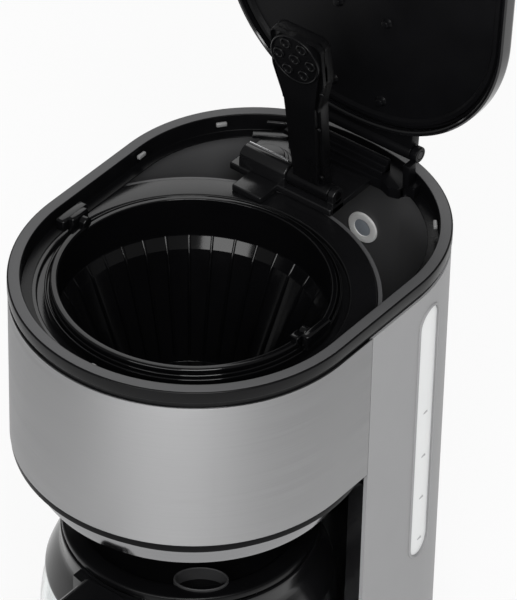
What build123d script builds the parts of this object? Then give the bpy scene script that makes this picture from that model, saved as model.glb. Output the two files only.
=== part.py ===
from build123d import *
import os
from math import acos, atan2, cos, degrees, radians, sin, sqrt

# A drip coffee maker, in millimetres, standing on the table at Z = 0.
# The Z axis is the brew axis: filter basket, drip valve and carafe share it.
# +X is the right side with the water window, -Y the front, +Y the back.

# Body plan: half-round front, straight sides, round corners and a flatter back
half_width = 89.0
side_length = 62.0
corner_x = 9.0
back_flatness = 37.0

# Heights above the table
foot_height = 4.0
base_top = 46.0
skirt_bottom = 209.0
strip_height = 4.0
skirt_step = 3.0
skirt_width = 6.0
ring_setback = 4.5
ring_height = 8.6
ring_taper = 1.0
ring_sheet = 2.0
band_bottom = 220.0
band_height = 85.0
rim_height = 11.0

# Walls
base_wall = 2.5
shell_wall = 2.2
band_sheet = 0.8
head_wall = 2.5
tank_wall = 2.0
column_wall = 2.5
cover_thickness = 2.5
cooling_slots = 7
cooling_slot_pitch = 12.0
cooling_slot_length = 40.0
cooling_slot_width = 3.0

# Fits: fixed pieces, sliding or swinging pieces, pins in their holes
seat_fit = 0.1
moving_gap = 0.3
pin_fit = 0.05
seam_gap = 0.4

# Side seam between the steel band and the rear shell
seam_y = 25.0

# Rim round the top opening
rim_inset = 0.2
rim_bevel = 1.0
rim_inner = 6.6
ledge_inner = 11.8
ledge_height = 4.0
clip_length = 9.0
clip_depth = 2.0
clip_height = 2.2
left_clip_angles = [122.0, 143.0, 180.0]
right_clip_angles = [39.0]
front_clip_angles = [267.0]

# Filter basket
basket_inset = 17.6
basket_ring_width = 5.1
basket_wall = 2.0
basket_ring_height = 3.7
basket_step_drop = 22.0
basket_step_height = 6.0
basket_step_depth = 3.8
basket_floor = 226.0
basket_floor_thickness = 2.0
basket_taper = 24.3
well_clearance = 0.7
deck_thickness = 3.0
flute_count = 36
flute_width = 1.6
flute_depth = 1.6
flute_top_drop = 17.0
flute_floor_gap = 4.0

# Bail of the basket
bail_setback = 2.4
bail_width = 4.0
bail_thickness = 3.0
bail_pivot_height = 4.5
bail_eye_radius = 3.8
bail_pin_radius = 1.8
bail_pin_length = 3.6
ear_thickness = 4.2
ear_length = 12.0
ear_height = 8.0
ear_tab_reach = 4.5
ear_tab_length = 19.0
ear_tab_drop = 1.0

# Drip valve in the basket outlet
outlet_bore = 7.3
outlet_wall = 2.0
outlet_length = 14.0
outlet_lip = 1.5
valve_stem_radius = 4.3
valve_drop = 12.3
piston_height = 2.2
seal_height = 1.2
seal_setback = 2.5
drip_hole_radius = 3.0
spring_wire = 0.9
spring_setback = 0.5
head_floor_hole = 14.0

# Warming plate and heater
plate_inset = 19.0
plate_thickness = 2.5
plate_skirt_setback = 8.5
plate_skirt_depth = 7.0
plate_skirt_wall = 1.5
gasket_height = 1.5
gasket_setback = 1.0
heater_setback = 18.5
heater_width = 14.0
heater_height = 21.0
hose_x = 26.0
hose_setback = 14.0
spigot_radius = 5.0
spigot_bore = 3.5
spigot_length = 18.0
hose_wall = 2.0
hose_bend_radius = 20.0
hose_grip = 14.0
hose_hole_clearance = 4.0
riser_drop = 2.0
clamp_wall = 1.2
clamp_width = 7.0
bracket_end_gap = 3.5
bracket_width = 14.0
bracket_thickness = 2.0
bracket_screw_radius = 2.0
bracket_screw_inset = 4.0
thermostat_radius = 7.5
thermostat_height = 9.0
terminal_pitch = 8.0
terminal_width = 1.0
terminal_depth = 5.0
fuse_length = 22.0
fuse_radius = 3.0

# Water tank in the rear column
tank_floor = 92.0
tank_floor_thickness = 2.0
tank_top_drop = 1.0
tank_front_y = 45.0
chimney_bore = 8.5
chimney_top_drop = 9.0
overflow_z = 260.0
overflow_bore = 4.8
overflow_flange = 8.0
overflow_sleeve_wall = 1.2
overflow_flange_height = 1.2
overflow_flange_sag = 0.3
strainer_holes = 6
strainer_hole_radius = 1.0
check_valve_height = 4.0
check_valve_flange = 3.0
check_valve_lip = 1.0
window_y = 73.0
window_bottom = 136.0
window_top_gap = 11.0
window_width = 17.0
window_recess = 0.6
window_land = 3.0

# Spray arm, raised when the lid is open
arm_pivot_setback = 4.0
arm_pivot_z = 314.0
arm_raise_angle = 82.0
arm_length = 86.0
arm_width = 25.0
arm_neck_width = 17.0
arm_waist_width = 20.0
arm_waist = 57.0
arm_edge = 1.5
arm_half_height = 4.5
arm_shell_height = 6.0
arm_head_width = 31.0
arm_head_end = 13.0
arm_channel_width = 9.0
arm_channel_depth = 3.5
spray_radius = 14.4
spray_chamber_radius = 11.5
nozzle_pitch = 9.5
nozzle_radius = 2.0
nozzle_rim = 1.2
nozzle_rim_height = 1.0
arm_pin_radius = 2.0
barrel_radius = 5.4
barrel_left = -41.0
pin_in_barrel = 5.0
arm_lug_width = 3.7
bridge_left = -46.0
bridge_front_gap = 1.6
bridge_lip = 1.0
pad_left = -34.0
pad_right = -16.0
bridge_thickness = 4.0
bridge_back_gap = 8.5
spray_plate_setback = 1.5
duct_half_width = 11.0
duct_back = 9.0
duct_rise = 3.0
duct_round = 3.0

# Lid and its hinge
lid_inset = 5.0
lid_setback = 15.0
lid_gap = 0.6
lid_edge_height = 9.0
lid_crown = 1.6
lid_round = 5.0
lid_wall = 2.5
liner_drop = 3.4
liner_thickness = 2.5
lid_open_angle = 92.7
hinge_setback = 18.5
hinge_rise = 9.6
knuckle_radius = 4.2
knuckle_inner_x = 21.5
knuckle_outer_x = 32.6
lug_width = 3.6
lug_front_gap = 9.5
lug_back_gap = 3.1
lid_pin_radius = 2.0
shelf_front_gap = 16.0
shelf_half_width = 40.0
shelf_step_x = 33.0
shelf_step_gap = 10.5
shelf_thickness = 2.5
shelf_steps = 3
step_rise = 2.2
step_run = 2.4
peg_radius = 2.0
peg_height = 2.2
peg_x = 14.6
peg_front_y = 62.0
peg_back_y = 107.5
web_depth = 4.0
web_reach = 16.0

# Carafe
carafe_gap = 0.3
carafe_clearance = 7.0
carafe_inset = 14.0
carafe_foot_setback = 11.0
carafe_heel = 11.0
carafe_belly_rise = 55.0
carafe_neck_radius = 63.0
carafe_neck_rise = 98.0
carafe_lip_rise = 109.0
glass_wall = 2.4
collar_sheet = 1.6
collar_height = 27.0
collar_drop = 1.0
carafe_lid_overhang = 1.0
carafe_lid_rim = 4.0
carafe_dish_radius = 49.0
carafe_dish_depth = 6.0
carafe_lid_floor = 2.5
plug_wall = 2.5
plug_depth = 9.0
hub_foot_radius = 30.0
hub_top_radius = 18.0
hub_hole_radius = 6.0
vent_x = 30.0
vent_y = -31.0
vent_radius = 10.6
vent_wall = 1.8
vent_rise = 1.5
handle_width = 27.0
handle_thickness = 14.0
handle_reach = 50.0
handle_drop = 78.0
handle_bend_radius = 16.0
handle_edge = 4.5
bracket_pad = 6.0
bracket_pad_height = 9.0
handle_screw_radius = 2.0
handle_screw_head = 4.0
handle_screw_depth = 10.0

# Switch, lamp and cord bush in the base
button_radius = 9.0
button_z = 25.0
button_proud = 1.6
button_depth = 9.0
button_flange = 1.5
button_flange_gap = 1.1
button_flange_height = 1.8
button_travel = 2.5
switch_width = 20.0
switch_depth = 16.0
lamp_radius = 3.0
lamp_offset = 19.0
lamp_depth = 4.0
lamp_proud = 0.4
lamp_round = 0.6
bush_radius = 7.0
bush_flange = 9.0
bush_flange_height = 1.8
bush_bore = 3.6
bush_length = 9.0
bush_z = 24.0

# Foot ring and screws
foot_inset = 6.0
foot_width = 7.0
foot_seat = 1.2
boss_front_inset = 23.0
boss_front_y = -28.0
boss_rear_inset = 27.0
boss_rear_y = 92.0
boss_radius = 4.5
screw_radius = 1.6
screw_head_radius = 3.2
screw_head_height = 1.6
screw_depth = 14.0

# Values that follow from those above
corner_radius = half_width - corner_x
back_radius = half_width + back_flatness
corner_to_back = back_radius - corner_radius
back_y = side_length - sqrt(corner_to_back**2 - corner_x**2)
corner_sweep = degrees(atan2(side_length - back_y, corner_x))
back_apex = back_y + back_radius
band_top = band_bottom + band_height
rim_top = band_top + rim_height
ledge_top = band_top + ledge_height
head_radius = half_width - band_sheet - seat_fit
head_floor = band_bottom - strip_height
base_floor = foot_height + cover_thickness
base_ceiling = base_top - base_wall
plate_seat = base_top + gasket_height
plate_top = plate_seat + plate_thickness
tank_inset = shell_wall + seam_gap
tank_front_radius = half_width - seam_gap
tank_top = band_top - tank_top_drop
window_height = tank_top - window_top_gap - window_bottom
tank_front_x = sqrt(tank_front_radius**2 - (window_y - window_width / 2) ** 2) + tank_wall
carafe_belly_radius = half_width - carafe_inset
carafe_foot_radius = carafe_belly_radius - carafe_foot_setback
column_inner_radius = carafe_belly_radius + carafe_clearance
column_outer_radius = column_inner_radius + column_wall
column_top = skirt_bottom + skirt_step
ring_radius = column_outer_radius - ring_setback
plate_radius = half_width - plate_inset
plate_skirt_radius = plate_radius - plate_skirt_setback
heater_radius = plate_skirt_radius - heater_setback
bracket_length = 2 * (plate_skirt_radius - bracket_end_gap)
hose_y = half_width + hose_setback
heater_end = degrees(acos(hose_x / heater_radius))
heater_bottom = plate_seat - heater_height
heater_end_y = sqrt(heater_radius**2 - hose_x**2)
spigot_end_y = heater_end_y + spigot_length + heater_width / 2
hose_radius = spigot_radius + hose_wall
clamp_radius = hose_radius + clamp_wall
hose_z = plate_seat - plate_skirt_depth - clamp_radius - moving_gap
tank_spigot_bottom = tank_floor - spigot_length
riser_top = band_top - riser_drop
basket_ring_bottom = band_top + moving_gap
basket_ring_top = basket_ring_bottom + basket_ring_height
basket_ring = half_width - basket_inset
basket_mouth = basket_ring - basket_ring_width
basket_body_radius = basket_mouth + basket_wall
basket_floor_radius = basket_mouth - basket_taper
basket_step_top = basket_ring_top - basket_step_drop
basket_step_bottom = basket_step_top - basket_step_height
basket_step_radius = basket_mouth - basket_step_depth
deck_hole = basket_body_radius + well_clearance
outlet_bottom = basket_floor - outlet_length
lip_top = outlet_bottom + outlet_lip
valve_tip = outlet_bottom - valve_drop
bail_pivot_z = basket_ring_top + bail_pivot_height
bail_outer = basket_ring - bail_setback
hinge_y = half_width + side_length - hinge_setback
hinge_z = rim_top + hinge_rise
lug_front_y = hinge_y - lug_front_gap
lug_back_y = hinge_y - lug_back_gap
shelf_front_y = hinge_y - shelf_front_gap
shelf_step_y = hinge_y - shelf_step_gap
bridge_back_y = hinge_y - bridge_back_gap
arm_pivot_y = half_width + arm_pivot_setback
lid_bottom = rim_top + lid_gap
shelf_top = ledge_top + shelf_thickness
carafe_bottom = plate_top + carafe_gap
carafe_lip = carafe_bottom + carafe_lip_rise
carafe_neck_z = carafe_bottom + carafe_neck_rise
carafe_lid_bottom = carafe_lip + moving_gap
carafe_lid_top = carafe_lid_bottom + carafe_lid_rim
dish_floor = carafe_lid_top - carafe_dish_depth
hub_top = valve_tip - carafe_gap
boss_front_x = half_width - boss_front_inset
boss_rear_x = half_width - boss_rear_inset
boss_points = [(side * boss_front_x, boss_front_y) for side in (-1, 1)]
boss_points += [(side * boss_rear_x, boss_rear_y) for side in (-1, 1)]

os.makedirs("parts", exist_ok=True)


def save(builder, name):
    """Label a finished piece and write it to its own file."""
    builder.part.label = name
    export_step(builder.part, f"parts/{name}.step")


def plan(inset, setback=0.0):
    """The body's plan outline, drawn inside the outer skin; setback pulls the back forward."""
    side = half_width - inset
    corner = corner_radius - inset
    corner_y = side_length - setback
    with BuildSketch() as outline:
        with BuildLine():
            CenterArc((0, 0), side, 180, 180)
            Line((side, 0), (side, corner_y))
            CenterArc((corner_x, corner_y), corner, 0, corner_sweep)
            CenterArc((0, back_y - setback), back_radius - inset, corner_sweep, 180 - 2 * corner_sweep)
            CenterArc((-corner_x, corner_y), corner, 180 - corner_sweep, corner_sweep)
            Line((-side, corner_y), (-side, 0))
        make_face()
    return outline.sketch


def half_plane(y, front):
    """A large face that covers everything in front of, or behind, a line across the body."""
    size = 4 * half_width
    with BuildSketch() as cover:
        with Locations((0, y - size / 2 if front else y + size / 2)):
            Rectangle(size, size)
    return cover.sketch


def crescent(inset, radius, front_y):
    """The part of the plan behind the brew head: outside a circle and behind a line."""
    with BuildSketch() as outline:
        add(plan(inset))
        Circle(radius, mode=Mode.SUBTRACT)
        add(half_plane(front_y, front=True), mode=Mode.SUBTRACT)
    return outline.sketch


def polygon(points):
    """A face from its corners."""
    with BuildSketch() as outline:
        with BuildLine():
            Polyline(*points, close=True)
        make_face()
    return outline.sketch


def taper(start, start_width, end, end_width):
    """A face along local y that changes its width from one end to the other."""
    return polygon(
        [
            (-start_width / 2, start),
            (start_width / 2, start),
            (end_width / 2, end),
            (-end_width / 2, end),
        ]
    )


def swung_plane(y, z, angle):
    """A plane on a hinge axis: local y runs along the swung piece, local z to its underside."""
    swing = radians(angle)
    return Plane(origin=(0, y, z), x_dir=(1, 0, 0), z_dir=(0, -sin(swing), -cos(swing)))


# Base and bottom
bush_plane = Plane(origin=(0, back_apex, bush_z), x_dir=(1, 0, 0), z_dir=(0, 1, 0))

with BuildPart() as base_shell:
    with BuildSketch(Plane.XY.offset(foot_height)):
        add(plan(0))
    extrude(amount=base_top - foot_height)
    with BuildSketch(Plane.XY.offset(foot_height)):
        add(plan(base_wall))
    extrude(amount=base_ceiling - foot_height, mode=Mode.SUBTRACT)
    with BuildSketch(Plane.XY.offset(base_ceiling)):
        Circle(plate_skirt_radius + seat_fit)
        with Locations((-hose_x, hose_y), (hose_x, hose_y)):
            Circle(hose_radius + hose_hole_clearance)
    extrude(amount=base_wall, mode=Mode.SUBTRACT)
    with BuildSketch(Plane.XY.offset(base_floor)):
        with Locations(*boss_points):
            Circle(boss_radius)
    extrude(amount=base_ceiling - base_floor)
    with BuildSketch(Plane.XY.offset(base_floor)):
        with Locations(*boss_points):
            Circle(screw_radius + pin_fit)
    extrude(amount=screw_depth, mode=Mode.SUBTRACT)
    with BuildSketch(Plane(origin=(0, 0, button_z), x_dir=(1, 0, 0), z_dir=(0, -1, 0))):
        Circle(button_radius + moving_gap)
        with Locations((lamp_offset, 0)):
            Circle(lamp_radius + seat_fit)
    extrude(amount=2 * half_width, mode=Mode.SUBTRACT)
    with BuildSketch(bush_plane):
        Circle(bush_radius + seat_fit)
    extrude(amount=-2 * base_wall, mode=Mode.SUBTRACT)
save(base_shell, "base_shell")

with BuildPart() as bottom_cover:
    with BuildSketch(Plane.XY.offset(foot_height)):
        add(plan(base_wall + seat_fit))
        with Locations(*boss_points):
            Circle(screw_radius + moving_gap, mode=Mode.SUBTRACT)
        with GridLocations(cooling_slot_pitch, 0, cooling_slots, 1):
            SlotOverall(cooling_slot_length, cooling_slot_width, rotation=90, mode=Mode.SUBTRACT)
    extrude(amount=cover_thickness)
    with BuildSketch(Plane.XY.offset(foot_height)):
        with Locations(*boss_points):
            Circle(screw_head_radius + moving_gap)
    extrude(amount=screw_head_height + seat_fit, mode=Mode.SUBTRACT)
    with BuildSketch(Plane.XY.offset(foot_height)):
        add(plan(foot_inset - seat_fit))
        add(plan(foot_inset + foot_width + seat_fit), mode=Mode.SUBTRACT)
    extrude(amount=foot_seat, mode=Mode.SUBTRACT)
save(bottom_cover, "bottom_cover")

with BuildPart() as foot_ring:
    with BuildSketch():
        add(plan(foot_inset))
        add(plan(foot_inset + foot_width), mode=Mode.SUBTRACT)
    extrude(amount=foot_height + foot_seat)
save(foot_ring, "foot_ring")

with BuildPart() as bottom_screws:
    with BuildSketch(Plane.XY.offset(foot_height)):
        with Locations(*boss_points):
            Circle(screw_head_radius)
    extrude(amount=screw_head_height)
    with BuildSketch(Plane.XY.offset(foot_height)):
        with Locations(*boss_points):
            Circle(screw_radius)
    extrude(amount=screw_depth)
save(bottom_screws, "bottom_screws")

# Warming plate, heater and the water path under it

with BuildPart() as plate_gasket:
    with BuildSketch(Plane.XY.offset(base_top)):
        Circle(plate_radius - gasket_setback)
        Circle(plate_skirt_radius + seat_fit, mode=Mode.SUBTRACT)
    extrude(amount=gasket_height)
save(plate_gasket, "plate_gasket")

with BuildPart() as warming_plate:
    with BuildSketch(Plane.XY.offset(plate_seat)):
        Circle(plate_radius)
    extrude(amount=plate_thickness)
    chamfer(warming_plate.edges().group_by(Axis.Z)[-1], plate_thickness / 3)
    with BuildSketch(Plane.XY.offset(plate_seat - plate_skirt_depth)):
        Circle(plate_skirt_radius)
        Circle(plate_skirt_radius - plate_skirt_wall, mode=Mode.SUBTRACT)
    extrude(amount=plate_skirt_depth)
save(warming_plate, "warming_plate")

# The heater is a horseshoe with its gap at the back, where the two spigots leave it
heater_start = radians(180 - heater_end)
heater_plane = Plane(
    origin=(0, 0, heater_bottom + heater_height / 2),
    x_dir=(cos(heater_start), sin(heater_start), 0),
    z_dir=(sin(heater_start), -cos(heater_start), 0),
)
spigot_start_y = heater_end_y - heater_width / 2
spigot_plane = Plane(origin=(0, spigot_start_y, hose_z), x_dir=(1, 0, 0), z_dir=(0, 1, 0))
spigot_reach = spigot_end_y - spigot_start_y

with BuildPart() as heater_body:
    with BuildSketch(heater_plane):
        with Locations((heater_radius, 0)):
            Rectangle(heater_width, heater_height)
    revolve(axis=Axis.Z, revolution_arc=180 + 2 * heater_end)
    with BuildSketch(spigot_plane):
        with Locations((-hose_x, 0), (hose_x, 0)):
            Circle(spigot_radius)
    extrude(amount=spigot_reach)
    with BuildSketch(spigot_plane):
        with Locations((-hose_x, 0), (hose_x, 0)):
            Circle(spigot_bore)
    extrude(amount=spigot_reach, mode=Mode.SUBTRACT)
save(heater_body, "heater_body")

bracket_top = heater_bottom
bracket_screw_x = bracket_length / 2 - bracket_screw_inset
with BuildPart() as heater_bracket:
    with BuildSketch(Plane.XY.offset(bracket_top - bracket_thickness)):
        RectangleRounded(bracket_length, bracket_width, bracket_width / 4)
        with Locations((-bracket_screw_x, 0), (bracket_screw_x, 0)):
            Circle(bracket_screw_radius + seat_fit, mode=Mode.SUBTRACT)
    extrude(amount=bracket_thickness)
save(heater_bracket, "heater_bracket")

with BuildPart() as bracket_screws:
    with BuildSketch(Plane.XY.offset(bracket_top - bracket_thickness - screw_head_height)):
        with Locations((-bracket_screw_x, 0), (bracket_screw_x, 0)):
            Circle(screw_head_radius)
    extrude(amount=screw_head_height)
    with BuildSketch(Plane.XY.offset(bracket_top - bracket_thickness)):
        with Locations((-bracket_screw_x, 0), (bracket_screw_x, 0)):
            Circle(bracket_screw_radius)
    extrude(amount=plate_seat - bracket_top + bracket_thickness)
save(bracket_screws, "bracket_screws")

with BuildPart() as thermostat:
    with BuildSketch(Plane.XY.offset(heater_bottom - thermostat_height)):
        with Locations((0, -heater_radius)):
            Circle(thermostat_radius)
    extrude(amount=thermostat_height)
    with BuildSketch(Plane.XY.offset(heater_bottom - thermostat_height)):
        with Locations((-terminal_pitch / 2, -heater_radius), (terminal_pitch / 2, -heater_radius)):
            Rectangle(terminal_width, terminal_depth)
    extrude(amount=-terminal_depth)
save(thermostat, "thermostat")

fuse_start = (-heater_radius, -bracket_width, heater_bottom - fuse_radius)
fuse_plane = Plane(origin=fuse_start, x_dir=(1, 0, 0), z_dir=(0, -1, 0))
with BuildPart() as thermal_fuse:
    with BuildSketch(fuse_plane):
        Circle(fuse_radius)
    extrude(amount=fuse_length)
save(thermal_fuse, "thermal_fuse")

# Hoses: from the tank down to the heater, and from the heater up to the spray arm


def hose(side, top):
    """A hose that leaves a heater spigot to the back and turns up to a given height."""
    with BuildPart() as tube:
        start = (side * hose_x, spigot_end_y - hose_grip, hose_z)
        corner = (side * hose_x, hose_y, hose_z)
        end = (side * hose_x, hose_y, top)
        with BuildLine() as route:
            FilletPolyline(start, corner, end, radius=hose_bend_radius)
        with BuildSketch(Plane(origin=start, x_dir=(1, 0, 0), z_dir=(0, 1, 0))):
            Circle(hose_radius)
            Circle(spigot_radius + pin_fit, mode=Mode.SUBTRACT)
        sweep(path=route.line)
    return tube


feed_hose = hose(1, tank_spigot_bottom + hose_grip)
save(feed_hose, "feed_hose")
riser_hose = hose(-1, riser_top)
save(riser_hose, "riser_hose")

clamp_planes = [
    Plane(
        origin=(side * hose_x, spigot_end_y - hose_grip / 2 - clamp_width / 2, hose_z),
        x_dir=(1, 0, 0),
        z_dir=(0, 1, 0),
    )
    for side in (-1, 1)
]
clamp_planes.append(Plane(origin=(hose_x, hose_y, tank_spigot_bottom + (hose_grip - clamp_width) / 2)))
with BuildPart() as hose_clamps:
    with BuildSketch(*clamp_planes):
        Circle(clamp_radius)
        Circle(hose_radius + pin_fit, mode=Mode.SUBTRACT)
    extrude(amount=clamp_width)
save(hose_clamps, "hose_clamps")

# Water tank, level window and overflow

window_middle = window_bottom + window_height / 2
window_plane = Plane(origin=(tank_front_x, window_y, window_middle), x_dir=(0, 1, 0), z_dir=(1, 0, 0))
overflow_plane = Plane(origin=(0, back_apex, overflow_z), x_dir=(1, 0, 0), z_dir=(0, -1, 0))
tank_back_inner = back_apex - tank_inset - tank_wall

with BuildPart() as water_tank:
    with BuildSketch(Plane.XY.offset(tank_floor)):
        add(crescent(tank_inset, tank_front_radius, tank_front_y))
    extrude(amount=tank_top - tank_floor)
    with BuildSketch(Plane.XY.offset(tank_floor + tank_floor_thickness)):
        add(crescent(tank_inset + tank_wall, tank_front_radius + tank_wall, tank_front_y + tank_wall))
    extrude(amount=tank_top - tank_floor, mode=Mode.SUBTRACT)
    with BuildSketch(Plane.XY.offset(tank_floor)):
        with Locations((-hose_x, hose_y)):
            Circle(chimney_bore + tank_wall)
    extrude(amount=tank_top - chimney_top_drop - tank_floor)
    with BuildSketch(Plane.XY.offset(tank_floor)):
        with Locations((-hose_x, hose_y)):
            Circle(chimney_bore)
    extrude(amount=tank_top - tank_floor, mode=Mode.SUBTRACT)
    with BuildSketch(Plane.XY.offset(tank_spigot_bottom)):
        with Locations((hose_x, hose_y)):
            Circle(spigot_radius)
    extrude(amount=spigot_length)
    with BuildSketch(Plane.XY.offset(tank_spigot_bottom)):
        with Locations((hose_x, hose_y)):
            Circle(spigot_bore)
    extrude(amount=spigot_length + tank_floor_thickness, mode=Mode.SUBTRACT)
    with BuildSketch(window_plane):
        SlotOverall(window_height - 2 * window_land, window_width - 2 * window_land, rotation=90)
    extrude(amount=half_width, mode=Mode.SUBTRACT)
    with BuildSketch(overflow_plane):
        Circle(overflow_bore + overflow_sleeve_wall + pin_fit)
    extrude(amount=2 * (tank_inset + tank_wall), mode=Mode.SUBTRACT)
save(water_tank, "water_tank")

with BuildPart() as check_valve:
    with BuildSketch(Plane.XY.offset(tank_floor + tank_floor_thickness)):
        with Locations((hose_x, hose_y)):
            Circle(spigot_radius + check_valve_flange)
            Circle(spigot_bore - check_valve_lip, mode=Mode.SUBTRACT)
    extrude(amount=check_valve_height)
save(check_valve, "check_valve")

with BuildPart() as water_window:
    with BuildSketch(Plane.XY.offset(window_bottom)):
        add(plan(window_recess))
        add(plan(tank_inset - pin_fit), mode=Mode.SUBTRACT)
        add(half_plane(0, front=True), mode=Mode.SUBTRACT)
    extrude(amount=window_height)
    with BuildSketch(window_plane):
        SlotOverall(window_height - 2 * seat_fit, window_width - 2 * seat_fit, rotation=90)
    extrude(amount=2 * half_width, mode=Mode.INTERSECT)
save(water_window, "water_window")

flange_back = back_apex - tank_back_inner + overflow_flange_sag
with BuildPart() as overflow_grommet:
    with BuildSketch(overflow_plane.offset(flange_back)):
        Circle(overflow_flange)
    extrude(amount=overflow_flange_height)
    with BuildSketch(overflow_plane.offset(seat_fit)):
        Circle(overflow_bore + overflow_sleeve_wall)
    extrude(amount=flange_back)
    with BuildSketch(overflow_plane):
        Circle(overflow_bore)
    extrude(amount=2 * flange_back, mode=Mode.SUBTRACT)
    with BuildSketch(overflow_plane.offset(flange_back)):
        Circle(overflow_bore)
        with PolarLocations(overflow_bore / 2, strainer_holes):
            Circle(strainer_hole_radius, mode=Mode.SUBTRACT)
    extrude(amount=overflow_flange_height / 2)
save(overflow_grommet, "overflow_grommet")

# Column, outer shell, steel band and brew head

with BuildPart() as column_front:
    with BuildSketch(Plane.XY.offset(base_top)):
        Circle(column_outer_radius)
        Circle(column_inner_radius, mode=Mode.SUBTRACT)
        add(half_plane(seam_y, front=True), mode=Mode.SUBTRACT)
    extrude(amount=column_top - base_top)
    with BuildSketch(Plane.XY.offset(base_top)):
        add(plan(shell_wall + seat_fit))
        Circle(column_inner_radius, mode=Mode.SUBTRACT)
        add(half_plane(seam_y, front=True), mode=Mode.SUBTRACT)
        add(half_plane(seam_y + column_wall, front=False), mode=Mode.SUBTRACT)
    extrude(amount=column_top - base_top)
save(column_front, "column_front")

with BuildPart() as outer_shell:
    with BuildSketch(Plane.XY.offset(base_top)):
        add(plan(0))
        add(plan(shell_wall), mode=Mode.SUBTRACT)
        add(half_plane(seam_y, front=True), mode=Mode.SUBTRACT)
    extrude(amount=band_top - base_top)
    with BuildSketch(window_plane):
        SlotOverall(window_height, window_width, rotation=90)
    extrude(amount=2 * half_width, mode=Mode.SUBTRACT)
    with BuildSketch(overflow_plane.offset(-shell_wall)):
        Circle(overflow_bore + overflow_sleeve_wall + pin_fit)
    extrude(amount=3 * shell_wall, mode=Mode.SUBTRACT)
save(outer_shell, "outer_shell")

with BuildPart() as front_band:
    with BuildSketch(Plane.XY.offset(band_bottom)):
        add(plan(0))
        add(plan(band_sheet), mode=Mode.SUBTRACT)
        add(half_plane(seam_y - seam_gap, front=False), mode=Mode.SUBTRACT)
    extrude(amount=band_height)
save(front_band, "front_band")

with BuildPart() as brew_head:
    with BuildSketch(Plane.XZ):
        add(
            polygon(
                [
                    (head_floor_hole, head_floor),
                    (head_radius, head_floor),
                    (head_radius, band_top),
                    (deck_hole, band_top),
                    (deck_hole, band_top - deck_thickness),
                    (head_radius - head_wall, band_top - deck_thickness),
                    (head_radius - head_wall, head_floor + head_wall),
                    (head_floor_hole, head_floor + head_wall),
                ]
            )
        )
    revolve(axis=Axis.Z)
save(brew_head, "brew_head")

with BuildPart() as head_skirt:
    with BuildSketch(Plane.XZ):
        add(
            polygon(
                [
                    (column_outer_radius - skirt_width, skirt_bottom),
                    (column_outer_radius - skirt_step, skirt_bottom),
                    (column_outer_radius - skirt_step, skirt_bottom + skirt_step),
                    (column_outer_radius, skirt_bottom + 2 * skirt_step),
                    (column_outer_radius, head_floor),
                    (column_outer_radius - skirt_width, head_floor),
                ]
            )
        )
    revolve(axis=Axis.Z)
save(head_skirt, "head_skirt")

ring_bottom = skirt_bottom - ring_height
ring_foot = ring_radius - ring_taper
with BuildPart() as skirt_ring:
    with BuildSketch(Plane.XZ):
        add(
            polygon(
                [
                    (ring_radius - ring_sheet, skirt_bottom),
                    (ring_radius, skirt_bottom),
                    (ring_foot, ring_bottom),
                    (ring_foot - ring_sheet, ring_bottom),
                ]
            )
        )
    revolve(axis=Axis.Z)
save(skirt_ring, "skirt_ring")

# Rim round the top opening, with its inner ledge and small clips for the lid
corner_clip = corner_radius - rim_inner
clips = [(-corner_x, side_length, corner_clip, angle) for angle in left_clip_angles]
clips += [(corner_x, side_length, corner_clip, angle) for angle in right_clip_angles]
clips += [(0, 0, half_width - rim_inner, angle) for angle in front_clip_angles]

with BuildPart() as top_rim:
    with BuildSketch(Plane.XY.offset(band_top)):
        add(plan(rim_inset))
        add(plan(rim_inner), mode=Mode.SUBTRACT)
    extrude(amount=rim_height)
    chamfer(top_rim.faces().sort_by(Axis.Z)[-1].outer_wire().edges(), rim_bevel)
    with BuildSketch(Plane.XY.offset(band_top)):
        add(plan(rim_inset + rim_bevel))
        add(plan(ledge_inner), mode=Mode.SUBTRACT)
    extrude(amount=ledge_height)
    for x, y, radius, angle in clips:
        turn = radians(angle)
        place = (x + radius * cos(turn), y + radius * sin(turn), ledge_top + clip_height)
        with Locations(Location(place, (0, 0, angle))):
            Box(2 * clip_depth, clip_length, clip_height)
save(top_rim, "top_rim")

# Hinge shelf at the back of the opening: steps between the hinges, and the two hinge lugs
lug_inner_x = knuckle_outer_x + moving_gap
step_half = knuckle_inner_x - moving_gap
hinge_side = Plane(origin=(0, hinge_y, hinge_z), x_dir=(0, 1, 0), z_dir=(1, 0, 0))

with BuildPart() as hinge_shelf:
    with BuildSketch(Plane.XY.offset(ledge_top)):
        add(plan(rim_inner + seat_fit))
        add(half_plane(shelf_front_y, front=True), mode=Mode.SUBTRACT)
        Rectangle(2 * shelf_half_width, 4 * half_width, mode=Mode.INTERSECT)
        with Locations((-shelf_half_width, shelf_front_y), (shelf_half_width, shelf_front_y)):
            Rectangle(
                2 * (shelf_half_width - shelf_step_x),
                2 * (shelf_step_y - shelf_front_y),
                mode=Mode.SUBTRACT,
            )
    extrude(amount=shelf_thickness)
    for step in range(shelf_steps):
        run = step_run * (shelf_steps - step)
        with Locations((0, lug_back_y, shelf_top)):
            Box(2 * step_half, run, step_rise * (step + 1), align=(Align.CENTER, Align.MAX, Align.MIN))
    for side in (-1, 1):
        lug_x = side * (lug_inner_x + lug_width / 2)
        with Locations((lug_x, lug_back_y, shelf_top)):
            Box(
                lug_width,
                lug_back_y - lug_front_y,
                hinge_z - shelf_top,
                align=(Align.CENTER, Align.MAX, Align.MIN),
            )
        with BuildSketch(hinge_side.offset(lug_x - lug_width / 2)):
            Circle(knuckle_radius)
        extrude(amount=lug_width)
    with BuildSketch(hinge_side):
        Circle(lid_pin_radius + pin_fit)
    extrude(amount=half_width, both=True, mode=Mode.SUBTRACT)
save(hinge_shelf, "hinge_shelf")

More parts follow.
